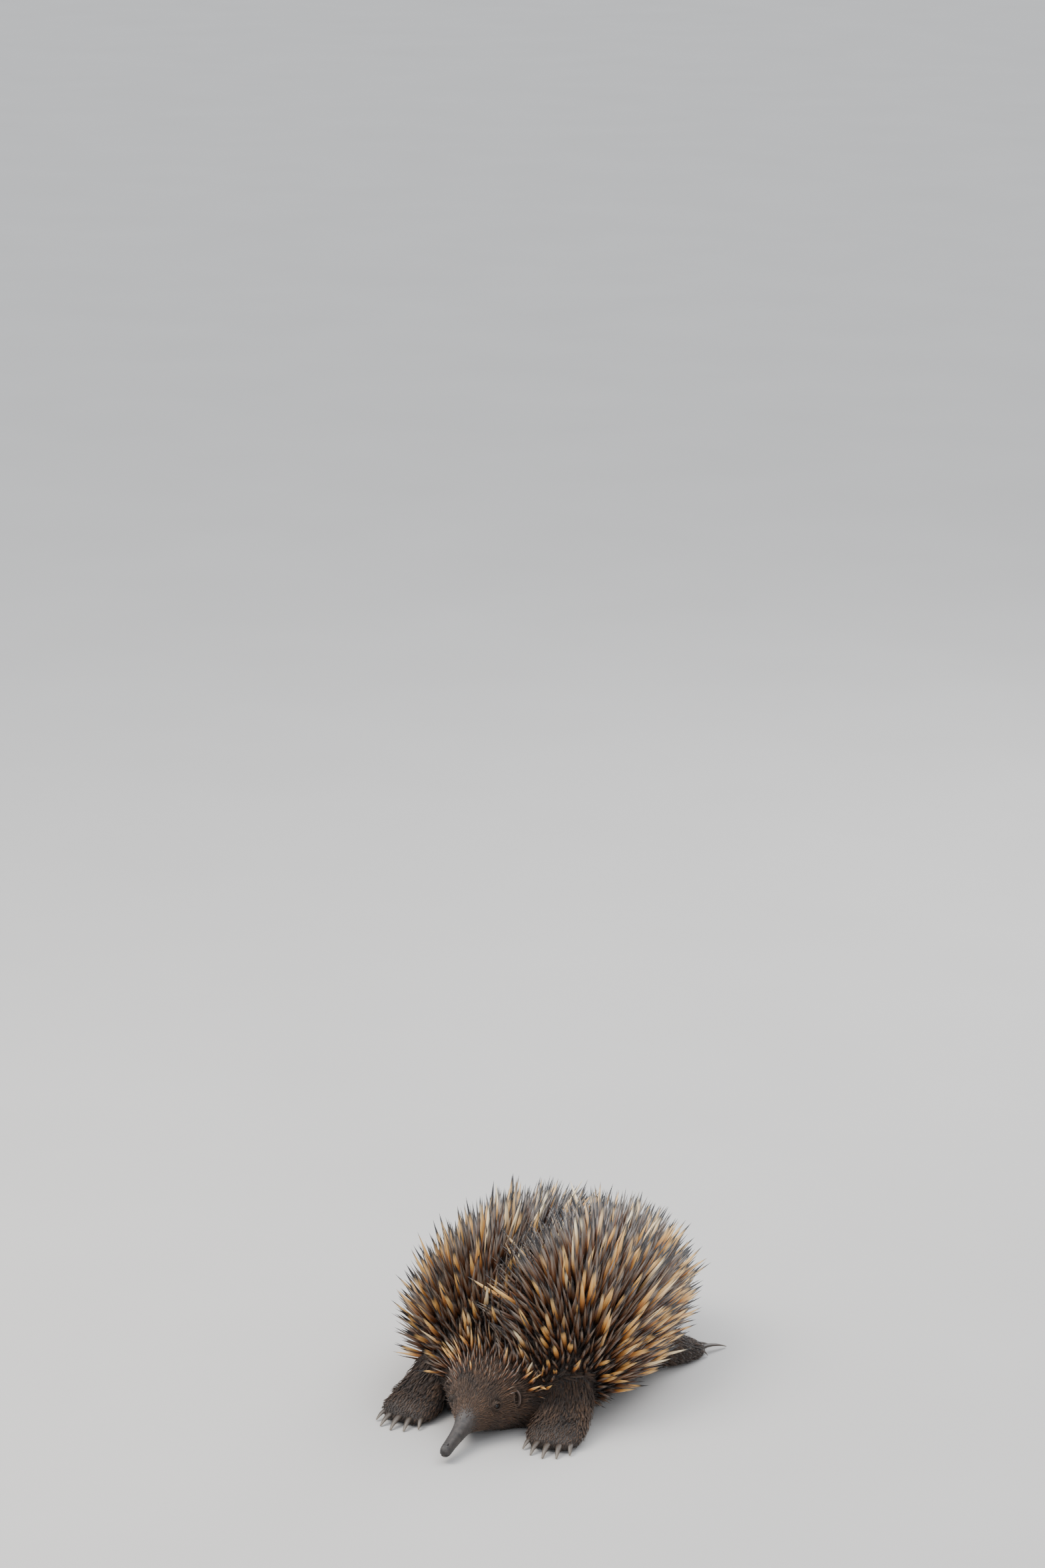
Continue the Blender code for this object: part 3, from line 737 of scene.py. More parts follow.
def spine_length():
    """Short on the crown, nape and tail, and longest along the back."""
    crown = 1.0 - 0.70 * (1.0 - eased(y, -0.155, -0.100))
    low = 0.68 + 0.32 * eased(z, 0.020, 0.080)
    tail = 1.0 - 0.55 * eased(y, 0.148, 0.176)
    under = bell(x - parting, 0.024) * (x < parting) * front_share
    return SPINE_LENGTH * crown * low * tail * (1 - 0.30 * under)


def spiny_share():
    """Where spines grow on the trunk, from 0 to 1."""
    lowest = np.maximum(between(SPINE_HEM, y) * tops, LOWEST_ROOT * eased(tops, 0.0, 0.07))
    share = eased(z, lowest - 0.002, lowest + 0.004) * eased(y, -0.159, -0.153)
    return np.where(on_body, share, 0.0)


def clear_of_limbs(lies, lengths, share):
    """No spine grows where it would run into a leg."""
    kept = share.copy()
    for i in np.nonzero(share > 0)[0]:
        start = Vector(skin_points[i] + skin_outs[i] * 0.001)
        for tree in part_trees[1:]:
            if tree.ray_cast(start, Vector(lies[i]), lengths[i] * 1.05)[0] is not None:
                kept[i] = 0.0
            elif tree.find_nearest(start, 0.004)[0] is not None:
                kept[i] = 0.0
    return kept


def laid(way, lift):
    """The way hair lies: a given way laid onto the skin, lifted from it by an angle."""
    flat = unit(way - skin_outs * (way * skin_outs).sum(1, keepdims=True))
    lift = np.broadcast_to(lift, len(x))[:, None]
    return flat * np.cos(lift) + skin_outs * np.sin(lift)


def add(tree, kind, values=None, **settings):
    """A node with its settings, and values or links for its sockets by name or number."""
    made = tree.nodes.new(kind)
    for name, value in settings.items():
        setattr(made, name, value)
    for key, value in (values or {}).items():
        if isinstance(value, bpy.types.NodeSocket):
            tree.links.new(value, made.inputs[key])
        else:
            made.inputs[key].default_value = value
    return made


def add_math(tree, operation, a, b=0.0, c=0.0, clamp=False):
    return add(tree, "ShaderNodeMath", {0: a, 1: b, 2: c}, operation=operation, use_clamp=clamp).outputs[0]


def plus(tree, a, b):
    return add_math(tree, "ADD", a, b)


def times(tree, a, b, and_add=None):
    """The product of two values, with a third added where one is given."""
    if and_add is None:
        return add_math(tree, "MULTIPLY", a, b)
    return add_math(tree, "MULTIPLY_ADD", a, b, and_add)


def vector_math(tree, operation, a, b):
    return add(tree, "ShaderNodeVectorMath", {0: a, 1: b}, operation=operation).outputs[0]


def scaled(tree, vector, level):
    """A vector or colour times a number."""
    return add(tree, "ShaderNodeVectorMath", {0: vector, 3: level}, operation="SCALE").outputs[0]


def joined(tree, a, b, c=0.0):
    return add(tree, "ShaderNodeCombineXYZ", {0: a, 1: b, 2: c}).outputs[0]


def noise(tree, place, scale, detail, output="Fac"):
    values = {"Vector": place, "Scale": scale, "Detail": detail}
    return add(tree, "ShaderNodeTexNoise", values).outputs[output]


def new_tree(name, kind, inputs, outputs):
    """An empty node group with its named sockets, and what its inputs give. A row: name, kind, value."""
    tree = bpy.data.node_groups.new(name, kind)
    for way, rows in (("INPUT", inputs), ("OUTPUT", outputs)):
        for label, socket, *value in rows:
            made = tree.interface.new_socket(name=label, in_out=way, socket_type="NodeSocket" + socket)
            if value:
                made.default_value = value[0]
    return tree, add(tree, "NodeGroupInput").outputs


def shaft(bm, heights, radii, sides, centre_line, patch, turn=0.0, flatness=1.0):
    """Adds a tapered closed shaft of length 1 along Z, with its map in a patch and its height kept."""
    uv = bm.loops.layers.uv.get("patch") or bm.loops.layers.uv.new("patch")
    along = bm.verts.layers.float.get("along") or bm.verts.layers.float.new("along")
    left, width = patch[0], patch[1] - patch[0]

    def add_face(verts, places):
        for loop, (u, v) in zip(bm.faces.new(verts).loops, places):
            loop[uv].uv = (left + width * u / sides, v)

    rings = []
    for f, radius in zip(heights, radii):
        x, y = centre_line(f)
        ring = []
        for i in range(sides):
            roll = turn + 2 * math.pi * i / sides
            vert = bm.verts.new((x + flatness * radius * math.cos(roll), y + radius * math.sin(roll), f))
            vert[along] = max(f, 0.0)
            ring.append(vert)
        rings.append(ring)
    tip = bm.verts.new((*centre_line(1.0), 1.0))
    tip[along] = 1.0
    levels = [max(f, 0.0) for f in heights]
    for near, far, low, high in zip(rings, rings[1:], levels, levels[1:]):
        for i in range(sides):
            j = (i + 1) % sides
            places = ((i, low), (i + 1, low), (i + 1, high), (i, high))
            add_face((near[i], near[j], far[j], far[i]), places)
    for i in range(sides):
        places = ((i, heights[-1]), (i + 1, heights[-1]), (i + 0.5, 1.0))
        add_face((rings[-1][i], rings[-1][(i + 1) % sides], tip), places)
    rolls = [2 * math.pi * i / sides for i in range(sides)]
    places = [(sides * (0.5 + 0.3 * math.cos(roll)), 0.02 + 0.02 * math.sin(roll)) for roll in rolls]
    add_face(rings[0][::-1], places)


def pattern_object(name, bm):
    """A single spine, tuft or claw that a tree repeats. It is removed once its copies are made."""
    bmesh.ops.recalc_face_normals(bm, faces=bm.faces)
    made = as_object(name, bm)
    made.hide_render = True
    return made


def spine_pattern():
    bm = bmesh.new()
    heights = (-0.11, 0.08, 0.25, 0.42, 0.59, 0.77, 0.92)
    radii = (0.60, 0.78, 0.94, 1.00, 0.80, 0.46, 0.16)
    shaft(bm, heights, radii, 7, lambda f: (1.3 * (f * f - 0.5 * f), 0.0), (0.0, 1.0))
    return pattern_object("spine_pattern", bm)


def tuft_pattern():
    """A few strands from one root, which rise a little and bend back to the skin."""
    draw = random.Random(5)
    bm = bmesh.new()
    for k in range(TUFT_STRANDS):
        root_y = (k - (TUFT_STRANDS - 1) / 2) * TUFT_SPREAD
        root_x = draw.uniform(-0.4, 0.4)
        lean_y = draw.uniform(-0.9, 0.9) * TUFT_SPREAD - root_y * 0.35
        lean_x = draw.uniform(-0.5, 0.8)
        rise = draw.uniform(0.8, 1.2) * TUFT_BOW

        def centre_line(f, root=(root_x, root_y), lean=(lean_x, lean_y), rise=rise):
            bow = rise * math.sin(math.pi * max(f, 0.0)) - TUFT_DROP * f * abs(f)
            return root[0] + lean[0] * f + bow, root[1] + lean[1] * f

        radii = [radius * draw.uniform(0.85, 1.1) for radius in (0.80, 1.00, 0.62)]
        patch = (k / TUFT_STRANDS, (k + 0.96) / TUFT_STRANDS)
        shaft(bm, (-0.10, 0.32, 0.70), radii, 3, centre_line, patch, draw.uniform(0, 2), 0.75)
    return pattern_object("tuft_pattern", bm)


def claw_pattern():
    """A claw of length 1, half width 1 and half height 1, along Z, its back to X."""
    bm = bmesh.new()
    heights = (-0.30, -0.12, 0.05, 0.20, 0.36, 0.52, 0.66, 0.78, 0.88, 0.95, 0.99)
    radii = [1.0 - 0.78 * max(f, 0.0) ** 2.2 for f in heights]

    def centre_line(f):
        out = max(f, 0.0)
        return 0.95 * math.sin(math.pi * min(0.75 * out + 0.1, 1.0)) - 1.75 * out**2, 0.0

    shaft(bm, heights, radii, CLAW_SIDES, centre_line, (0.0, 1.0), 0.0, 0.62)
    return pattern_object("claw_pattern", bm)


def named(tree, name, kind="FLOAT"):
    """A value that the mesh keeps under a name."""
    return add(tree, "GeometryNodeInputNamedAttribute", {0: name}, data_type=kind).outputs[0]


def store(tree, geometry, name, value, kind="FLOAT", domain="POINT"):
    values = {0: geometry, 2: name, 3: value}
    return add(tree, "GeometryNodeStoreNamedAttribute", values, data_type=kind, domain=domain).outputs[0]


def drawn(tree, low, high, seed):
    """A number from low to high, drawn for each copy."""
    return add(tree, "FunctionNodeRandomValue", {2: low, 3: high, 8: seed}, data_type="FLOAT").outputs[1]


def standing(tree, way, face):
    """The rotation that points a pattern's Z along a way, and its X as near as it goes to another."""
    aligned = add(tree, "FunctionNodeAlignRotationToVector", {2: way}, axis="Z").outputs[0]
    values = {0: aligned, 2: face}
    return add(tree, "FunctionNodeAlignRotationToVector", values, axis="X", pivot_axis="Z").outputs[0]


def copied(tree, points, pattern, rotation, scale):
    """A pattern's copies at some points."""
    shape = add(tree, "GeometryNodeObjectInfo", {0: pattern}).outputs["Geometry"]
    values = {0: points, 2: shape, 5: rotation, 6: scale}
    return add(tree, "GeometryNodeInstanceOnPoints", values).outputs[0]


def give_out(tree, geometry, finish):
    """Ends a tree with its geometry, smooth and in its material."""
    smooth = add(tree, "GeometryNodeSetShadeSmooth", {0: geometry}).outputs[0]
    add(tree, "NodeGroupOutput", {0: add(tree, "GeometryNodeSetMaterial", {0: smooth, 2: finish}).outputs[0]})


GROWTH_INPUTS = (
    ("Skin", "Geometry"),
    ("Pattern", "Object"),
    ("Finish", "Material"),
    ("Seed", "Int", 1),
    ("Spacing", "Float", 0.005),
    ("Shortest", "Float", 0.8),
    ("Longest", "Float", 1.06),
    ("Stray", "Float", 0.06),
    ("Roll", "Float", 3.14),
    ("Thin", "Float", 1.0),
    ("Stout", "Float", 1.0),
    ("Low", "Float", 1.0),
    ("Tall", "Float", 1.0),
    ("Patch width", "Float", 0.003),
    ("Patch length", "Float", 0.003),
)


def growth_tree():
    """Scatters a pattern over a skin and lays each copy along the skin's own directions."""
    coat = (("Coat", "Geometry"),)
    tree, given = new_tree("Growth over the skin", "GeometryNodeTree", GROWTH_INPUTS, coat)
    density = add_math(tree, "DIVIDE", PACKING, times(tree, given["Spacing"], given["Spacing"]))
    where = {0: given["Skin"], 2: given["Spacing"], 3: density, 5: named(tree, "grow"), 6: given["Seed"]}
    scatter = add(tree, "GeometryNodeDistributePointsOnFaces", where, distribute_method="POISSON").outputs
    around = {0: (-1.0, -1.0, -1.0), 1: (1.0, 1.0, 1.0), 8: 3}
    sway = add(tree, "FunctionNodeRandomValue", around, data_type="FLOAT_VECTOR").outputs[0]
    way = vector_math(tree, "ADD", named(tree, "lie", "FLOAT_VECTOR"), scaled(tree, sway, given["Stray"]))
    roll = drawn(tree, times(tree, given["Roll"], -1.0), given["Roll"], 4)
    turn = add(tree, "FunctionNodeAxisAngleToRotation", {0: (0.0, 0.0, 1.0), 1: roll}).outputs[0]
    both = {0: standing(tree, way, scatter["Normal"]), 1: turn}
    rotation = add(tree, "FunctionNodeRotateRotation", both, rotation_space="LOCAL").outputs[0]
    longer = drawn(tree, given["Shortest"], given["Longest"], 5)
    wider = drawn(tree, 0.84, 1.16, 6)
    tone = drawn(tree, 0.0, 1.0, 7)
    kind = plus(tree, tone, named(tree, "warm"))
    # Amber and cream spines are stouter and longer than the dark ones
    edges = {0: kind, 1: AMBER_EDGES[0], 2: AMBER_EDGES[1]}
    stout = add(tree, "ShaderNodeMapRange", {**edges, 3: given["Thin"], 4: given["Stout"]}).outputs[0]
    tall = add(tree, "ShaderNodeMapRange", {**edges, 3: given["Low"], 4: given["Tall"]}).outputs[0]
    long = times(tree, times(tree, named(tree, "size"), longer), tall)
    wide = times(tree, times(tree, named(tree, "girth"), wider), stout)
    toned = store(tree, scatter["Points"], "tone", tone)
    copies = copied(tree, toned, given["Pattern"], rotation, joined(tree, wide, wide, long))
    root = named(tree, UV_NAME, "FLOAT_VECTOR")
    rooted = store(tree, copies, "root_place", root, "FLOAT_VECTOR", "INSTANCE")
    real = add(tree, "GeometryNodeRealizeInstances", {0: rooted}).outputs[0]
    spans = joined(tree, given["Patch width"], given["Patch length"])
    patch = vector_math(tree, "MULTIPLY", named(tree, "patch", "FLOAT_VECTOR"), spans)
    placed = vector_math(tree, "ADD", named(tree, "root_place", "FLOAT_VECTOR"), patch)
    give_out(tree, store(tree, real, UV_NAME, placed, "FLOAT2", "CORNER"), given["Finish"])
    return tree


def claw_tree():
    """Sets a claw at each point, along the point's own heading."""
    inputs = (("Roots", "Geometry"), ("Pattern", "Object"), ("Finish", "Material"))
    tree, given = new_tree("Claws at the toes", "GeometryNodeTree", inputs, (("Claws", "Geometry"),))
    rotation = standing(tree, named(tree, "heading", "FLOAT_VECTOR"), tuple(UP))
    size = named(tree, "size", "FLOAT_VECTOR")
    copies = copied(tree, given["Roots"], given["Pattern"], rotation, size)
    toned = store(tree, copies, "tone", drawn(tree, 0.0, 1.0, 7), domain="INSTANCE")
    real = add(tree, "GeometryNodeRealizeInstances", {0: toned}).outputs[0]
    give_out(tree, real, given["Finish"])
    return tree


# What the materials and the mesh itself need of a grown mesh's data
KEPT_DATA = ("along", "tone", "warm", "sky_sheen", "shade", "patch", UV_NAME, "sharp_face", "material_index")


def set_values(mesh, name, values, kind="FLOAT"):
    attribute = mesh.attributes.new(name, kind, "POINT")
    key = "vector" if kind == "FLOAT_VECTOR" else "value"
    attribute.data.foreach_set(key, np.asarray(values, dtype=np.float32).ravel())


def press_on_floor(mesh, band):
    """Presses what reaches the floor flat on it, in order, so that nothing goes through."""
    places = np.zeros(len(mesh.vertices) * 3)
    mesh.vertices.foreach_get("co", places)
    places = places.reshape(-1, 3)
    low = places[:, 2] < band
    places[low, 2] = band * np.exp(np.maximum((places[low, 2] - band) / band, -2.2))
    mesh.vertices.foreach_set("co", places.ravel())
    mesh.update()


def grown(name, mesh, tree, band, **inputs):
    """What a tree makes of a mesh, as a plain mesh in an object of its own."""
    field = add_object(name + "_field", mesh)
    change = field.modifiers.new("Growth", "NODES")
    change.node_group = tree
    for item in tree.interface.items_tree:
        if item.item_type == "SOCKET" and item.in_out == "INPUT" and item.name in inputs:
            change[item.identifier] = inputs[item.name]
    made = evaluated_mesh(field)
    made.name = name
    bpy.data.objects.remove(field, do_unlink=True)
    bpy.data.meshes.remove(mesh)
    for label in [data.name for data in made.attributes if not (data.is_internal or data.is_required)]:
        if label not in KEPT_DATA:
            made.attributes.remove(made.attributes[label])
    press_on_floor(made, band)
    return add_object(name, made)


def add_mix(tree, share, a, b):
    """Two colours mixed."""
    return add(tree, "ShaderNodeMix", {0: share, 6: a, 7: b}, data_type="RGBA").outputs[2]


def add_ramp(tree, value, stops):
    made = add(tree, "ShaderNodeValToRGB", {0: value})
    elements = made.color_ramp.elements
    while len(elements) < len(stops):
        elements.new(0.5)
    for element, (at, colour) in zip(elements, stops):
        element.position = at
        element.color = (*colour, 1.0)
    return made.outputs[0]


def add_range(tree, value, low, high, to_low=0.0, to_high=1.0):
    values = {0: value, 1: low, 2: high, 3: to_low, 4: to_high}
    return add(tree, "ShaderNodeMapRange", values, interpolation_type="SMOOTHSTEP").outputs[0]


def body_place(tree):
    return add(tree, "ShaderNodeTexCoord").outputs["Object"]


def horn_lines_group():
    """Fine lines along a spine or claw, from its own patch map."""
    inputs = (("Patch", "Vector"), ("Tone", "Float", 0.5), ("Fineness", "Float", 9.0))
    tree, given = new_tree("Horn lines", "ShaderNodeTree", inputs, (("Lines", "Float"),))
    parts = add(tree, "ShaderNodeSeparateXYZ", {0: given["Patch"]}).outputs
    across = times(tree, parts[0], given["Fineness"])
    place = joined(tree, across, times(tree, parts[1], 1.3), times(tree, given["Tone"], 57.0))
    add(tree, "NodeGroupOutput", {"Lines": noise(tree, place, 1.0, 3.0)})
    return tree


def coat_browns_group():
    """The coat's brown, darker and lighter in patches over the body."""
    inputs = (("Dark", "Color"), ("Light", "Color"), ("Fine", "Float", 60.0))
    tree, given = new_tree("Coat browns", "ShaderNodeTree", inputs, (("Colour", "Color"),))
    place = body_place(tree)
    fine = times(tree, noise(tree, place, given["Fine"], 3.0), 0.45)
    share = add_range(tree, times(tree, noise(tree, place, 22.0, 2.0), 0.55, fine), 0.36, 0.66)
    add(tree, "NodeGroupOutput", {"Colour": add_mix(tree, share, given["Dark"], given["Light"])})
    return tree


def creases_group():
    """The creased, pebbled surface of bare skin."""
    inputs = (("Cells", "Float", 900.0), ("Creases", "Float", 260.0))
    tree, given = new_tree("Skin creases", "ShaderNodeTree", inputs, (("Height", "Float"),))
    place = body_place(tree)
    bent = scaled(tree, noise(tree, place, 140.0, 2.0, "Color"), 0.0016)
    shifted = vector_math(tree, "ADD", place, bent)
    values = {"Vector": shifted, "Scale": given["Cells"]}
    cells = add(tree, "ShaderNodeTexVoronoi", values, feature="DISTANCE_TO_EDGE").outputs["Distance"]
    folds = noise(tree, vector_math(tree, "MULTIPLY", shifted, (0.6, 2.4, 0.8)), given["Creases"], 4.0)
    height = times(tree, add_range(tree, cells, 0.0, 0.22), 0.35, folds)
    add(tree, "NodeGroupOutput", {"Height": height})
    return tree


GROWTH, CLAWS = growth_tree(), claw_tree()
HORN_LINES, COAT_BROWNS, CREASES = horn_lines_group(), coat_browns_group(), creases_group()


def shared(tree, group, **values):
    """What a shared group gives in a material's tree."""
    made = tree.nodes.new("ShaderNodeGroup")
    made.node_tree = group
    for name, value in values.items():
        if isinstance(value, bpy.types.NodeSocket):
            tree.links.new(value, made.inputs[name])
        else:
            made.inputs[name].default_value = value
    return made.outputs[0]


def new_material(name, roughness, colour, **constants):
    """A material whose shader is set with constants, with its tree."""
    material = bpy.data.materials.new(name)
    material.use_nodes = True
    material.diffuse_color = (*colour, 1.0)
    tree = material.node_tree
    shader = tree.nodes["Principled BSDF"]
    shader.inputs["Roughness"].default_value = roughness
    for label, value in constants.items():
        shader.inputs[label.replace("_", " ")].default_value = value
    return material, tree, shader


def feed(tree, shader, **values):
    """Links values to a shader's sockets."""
    for label, value in values.items():
        tree.links.new(value, shader.inputs[label.replace("_", " ")])


def add_bump(tree, shader, height, strength, distance):
    values = {"Strength": strength, "Distance": distance, "Height": height}
    feed(tree, shader, Normal=add(tree, "ShaderNodeBump", values).outputs[0])


def kept(tree, *names):
    """The numbers that the mesh keeps under some names."""
    return [add(tree, "ShaderNodeAttribute", attribute_name=name).outputs["Fac"] for name in names]


def lines_of(tree, tone, **values):
    patch = add(tree, "ShaderNodeAttribute", attribute_name="patch").outputs["Vector"]
    return shared(tree, HORN_LINES, Patch=patch, Tone=tone, **values)


def line_horn(tree, shader, colour, lines, contrast, level, strength, distance):
    """Gives horn its colour, darker and smoother in its fine lines."""
    shade = times(tree, lines, contrast, level)
    feed(tree, shader, Base_Color=scaled(tree, colour, shade), Roughness=times(tree, lines, 0.25, 0.28))
    add_bump(tree, shader, lines, strength, distance)


DARK_SPINE = (
    (0.00, (0.008, 0.004, 0.002)),
    (0.18, (0.026, 0.010, 0.005)),
    (0.34, (0.175, 0.066, 0.027)),
    (0.50, (0.190, 0.104, 0.066)),
    (0.66, (0.165, 0.138, 0.124)),
    (0.82, (0.100, 0.098, 0.104)),
    (1.00, (0.009, 0.009, 0.010)),
)
# Painted bluish-grey sky sheen, mixed into the dark spines' colour
SKY_SHEEN_SPINE = (
    (0.30, (0.140, 0.104, 0.086)),
    (0.52, (0.270, 0.250, 0.246)),
    (0.80, (0.195, 0.200, 0.214)),
    (1.00, (0.010, 0.010, 0.012)),
)
AMBER_SPINE = (
    (0.00, (0.012, 0.005, 0.003)),
    (0.14, (0.046, 0.017, 0.007)),
    (0.26, (0.230, 0.080, 0.024)),
    (0.40, (0.580, 0.240, 0.058)),
    (0.56, (0.840, 0.460, 0.135)),
    (0.78, (0.900, 0.560, 0.210)),
    (1.00, (0.600, 0.380, 0.170)),
)
CREAM_SPINE = (
    (0.00, (0.020, 0.010, 0.006)),
    (0.16, (0.150, 0.066, 0.026)),
    (0.32, (0.700, 0.400, 0.150)),
    (0.48, (0.950, 0.720, 0.400)),
    (0.78, (0.980, 0.820, 0.540)),
    (1.00, (0.780, 0.640, 0.430)),
)
BLACK_TIP = (0.016, 0.015, 0.017, 1.0)


def spine_material():
    """Dark, amber and cream spines, by tone and place, each dark at its root and black at its tip, with a
    painted bluish-grey sky sheen on the dark ones, strongest on the highest.
    """
    shine = {"Coat_Weight": 0.55, "Coat_Roughness": 0.26}
    material, tree, shader = new_material("spine_horn", 0.40, (0.20, 0.10, 0.04), **shine)
    along, tone, warm, sky_sheen = kept(tree, "along", "tone", "warm", "sky_sheen")
    second = add_math(tree, "FRACT", times(tree, tone, 17.31))
    third = add_math(tree, "FRACT", times(tree, tone, 61.73))
    lines = lines_of(tree, tone)
    shift = plus(tree, along, times(tree, second, 0.22, -0.11))
    place = plus(tree, shift, times(tree, lines, 0.20, -0.10))
    amber = add_range(tree, plus(tree, tone, warm), *AMBER_EDGES)
    # Painted sky sheen: where it is strong, more spines are pale cream as painted highlight, and the dark
    # ones are mixed toward bluish grey as painted reflection
    cream = add_range(tree, times(tree, sky_sheen, 0.035, tone), *CREAM_EDGES)
    sheen_share = times(tree, sky_sheen, times(tree, second, 0.6, 0.4))
    sheen_share = times(tree, sheen_share, add_range(tree, place, 0.30, 0.62))
    dark = add_mix(tree, sheen_share, add_ramp(tree, place, DARK_SPINE), add_ramp(tree, place, SKY_SHEEN_SPINE))
    amber_colour = add_ramp(tree, place, AMBER_SPINE)
    rusty = times(tree, third, 0.75)
    rust = add_mix(tree, rusty, dark, add_mix(tree, 0.20, dark, amber_colour))
    colour = add_mix(tree, amber, scaled(tree, rust, times(tree, second, 0.80, 0.55)), amber_colour)
    colour = add_mix(tree, cream, colour, add_ramp(tree, place, CREAM_SPINE))
    past_start = add_math(tree, "SUBTRACT", place, times(tree, third, 0.30, 0.57))
    tip = add_math(tree, "MULTIPLY", past_start, 7.0, clamp=True)
    line_horn(tree, shader, add_mix(tree, tip, colour, BLACK_TIP), lines, 0.7, 0.62, 0.35, 0.0003)
    return material


def fur_material():
    sheen = {"Sheen_Weight": 0.15, "Sheen_Roughness": 0.45}
    material, tree, shader = new_material("fur", 0.62, (0.045, 0.028, 0.018), **sheen)
    along, tone, shade = kept(tree, "along", "tone", "shade")
    base = shared(tree, COAT_BROWNS, Dark=(0.026, 0.014, 0.008, 1), Light=(0.115, 0.060, 0.030, 1))
    pale = add_mix(tree, times(tree, tone, 0.65), base, (0.21, 0.120, 0.062, 1))
    tipped = add_mix(tree, add_range(tree, along, 0.25, 1.0, 0.0, 0.6), base, pale)
    level = times(tree, times(tree, tone, 0.5, 0.6), shade)
    rooty = times(tree, level, add_range(tree, along, 0.0, 0.45, 0.45, 1.0))
    feed(tree, shader, Base_Color=scaled(tree, tipped, rooty))
    return material


def skin_material():
    """Dark skin under the fur, darker under the spines as painted shade, and creased grey skin where it is
    bare, with painted shade in its creases, mouth, nostrils, ears and lids.
    """
    material, tree, shader = new_material("skin", 0.62, (0.050, 0.035, 0.027))
    bare, shade, hollow_shade = kept(tree, "bare", "shade", "dark")
    coat = shared(tree, COAT_BROWNS, Dark=(0.014, 0.009, 0.006, 1), Light=(0.050, 0.029, 0.017, 1))
    greys = {"Dark": (0.022, 0.019, 0.018, 1), "Light": (0.066, 0.054, 0.047, 1)}
    beak = shared(tree, COAT_BROWNS, Fine=260.0, **greys)
    creases = shared(tree, CREASES)
    colour = add_mix(tree, bare, scaled(tree, coat, shade), beak)
    # Painted shade: darker in the skin's creases, and in the mouth, nostrils, ears and lids
    crease_and_hollow_shade = times(tree, times(tree, creases, 0.5, 0.62), times(tree, hollow_shade, -0.85, 1.0))
    feed(tree, shader, Base_Color=scaled(tree, colour, crease_and_hollow_shade), Roughness=times(tree, bare, -0.20, 0.72))
    add_bump(tree, shader, creases, 0.55, 0.0004)
    return material


def ear_material():
    material, tree, shader = new_material("ear_skin", 0.66, (0.06, 0.04, 0.03))
    browns = {"Dark": (0.040, 0.027, 0.021, 1), "Light": (0.110, 0.075, 0.058, 1)}
    feed(tree, shader, Base_Color=shared(tree, COAT_BROWNS, Fine=300.0, **browns))
    add_bump(tree, shader, shared(tree, CREASES, Cells=1300.0, Creases=420.0), 0.5, 0.0003)
    return material


def claw_material():
    material, tree, shader = new_material("claw_horn", 0.38, (0.13, 0.105, 0.085))
    along, tone = kept(tree, "along", "tone")
    lines = lines_of(tree, tone, Fineness=14.0)
    stops = (
        (0.00, (0.022, 0.016, 0.012)),
        (0.25, (0.046, 0.034, 0.026)),
        (0.70, (0.072, 0.055, 0.041)),
        (1.00, (0.150, 0.120, 0.088)),
    )
    colour = add_ramp(tree, plus(tree, along, times(tree, lines, 0.3, -0.15)), stops)
    line_horn(tree, shader, colour, lines, 0.8, 0.6, 0.4, 0.0004)
    return material


def eye_material():
    """The white's brown edge, the iris and the pupil, by how far the ball faces outward."""
    wet = {"Coat_Weight": 0.45, "Coat_Roughness": 0.03, "Specular_IOR_Level": 0.10}
    material, tree, shader = new_material("eye_dark", 0.12, (0.008, 0.007, 0.007), **wet)
    facing = kept(tree, "facing")[0]
    stops = (
        (0.00, (0.030, 0.022, 0.018)),
        (0.62, (0.020, 0.013, 0.010)),
        (0.74, (0.045, 0.022, 0.011)),
        (0.88, (0.026, 0.012, 0.006)),
        (0.93, (0.004, 0.003, 0.003)),
        (1.00, (0.002, 0.002, 0.002)),
    )
    roughness = add_range(tree, facing, 0.5, 0.9, 0.25, 0.08)
    feed(tree, shader, Base_Color=add_ramp(tree, facing, stops), Roughness=roughness)
    return material


def floor_material():
    material, tree, shader = new_material("pale_floor", 0.85, (0.60, 0.58, 0.55))
    share = noise(tree, body_place(tree), 3.0, 4.0)
    feed(tree, shader, Base_Color=add_mix(tree, share, (0.50, 0.480, 0.455, 1), (0.55, 0.530, 0.505, 1)))
    return material


SPINE_HORN, FUR, SKIN = spine_material(), fur_material(), skin_material()
EAR_SKIN, CLAW_HORN, EYE_DARK = ear_material(), claw_material(), eye_material()

pieces = []


def grow_coat(rows, slot, pattern, finish, lie, size, girth, tones, inputs):
    """Coat pieces that share all but where and how densely they grow. A row: name, share, spacing, seed."""
    for name, share, spacing, seed in rows:
        mesh = skin.data.copy()
        for key, values in {"grow": share, "size": size, "girth": girth, **tones}.items():
            set_values(mesh, key, values)
        set_values(mesh, "lie", lie, "FLOAT_VECTOR")
        chosen = {"Pattern": pattern, "Finish": finish, "Spacing": spacing, "Seed": seed, **inputs}
        pieces.append((grown(name, mesh, GROWTH, COAT_BAND, **chosen), slot))


# Where the spines grow, clear of the ears and the legs
eye_places = [np.array(eye_place(side)[0]) for _, side in SIDES]
ear_places = [np.array(on_trunk(EAR_Y, EAR_Z, side)[0]) for _, side in SIDES]
to_eye = np.min([np.linalg.norm(skin_points - place, axis=1) for place in eye_places], axis=0)
to_ear = np.min([np.linalg.norm((skin_points - place) / (1, 1, 2.0), axis=1) for place in ear_places], axis=0)
lies = spine_lie()
lengths = spine_length()
spiny = clear_of_limbs(lies, lengths, spiny_share() * eased(to_ear, 0.0070, 0.0090))

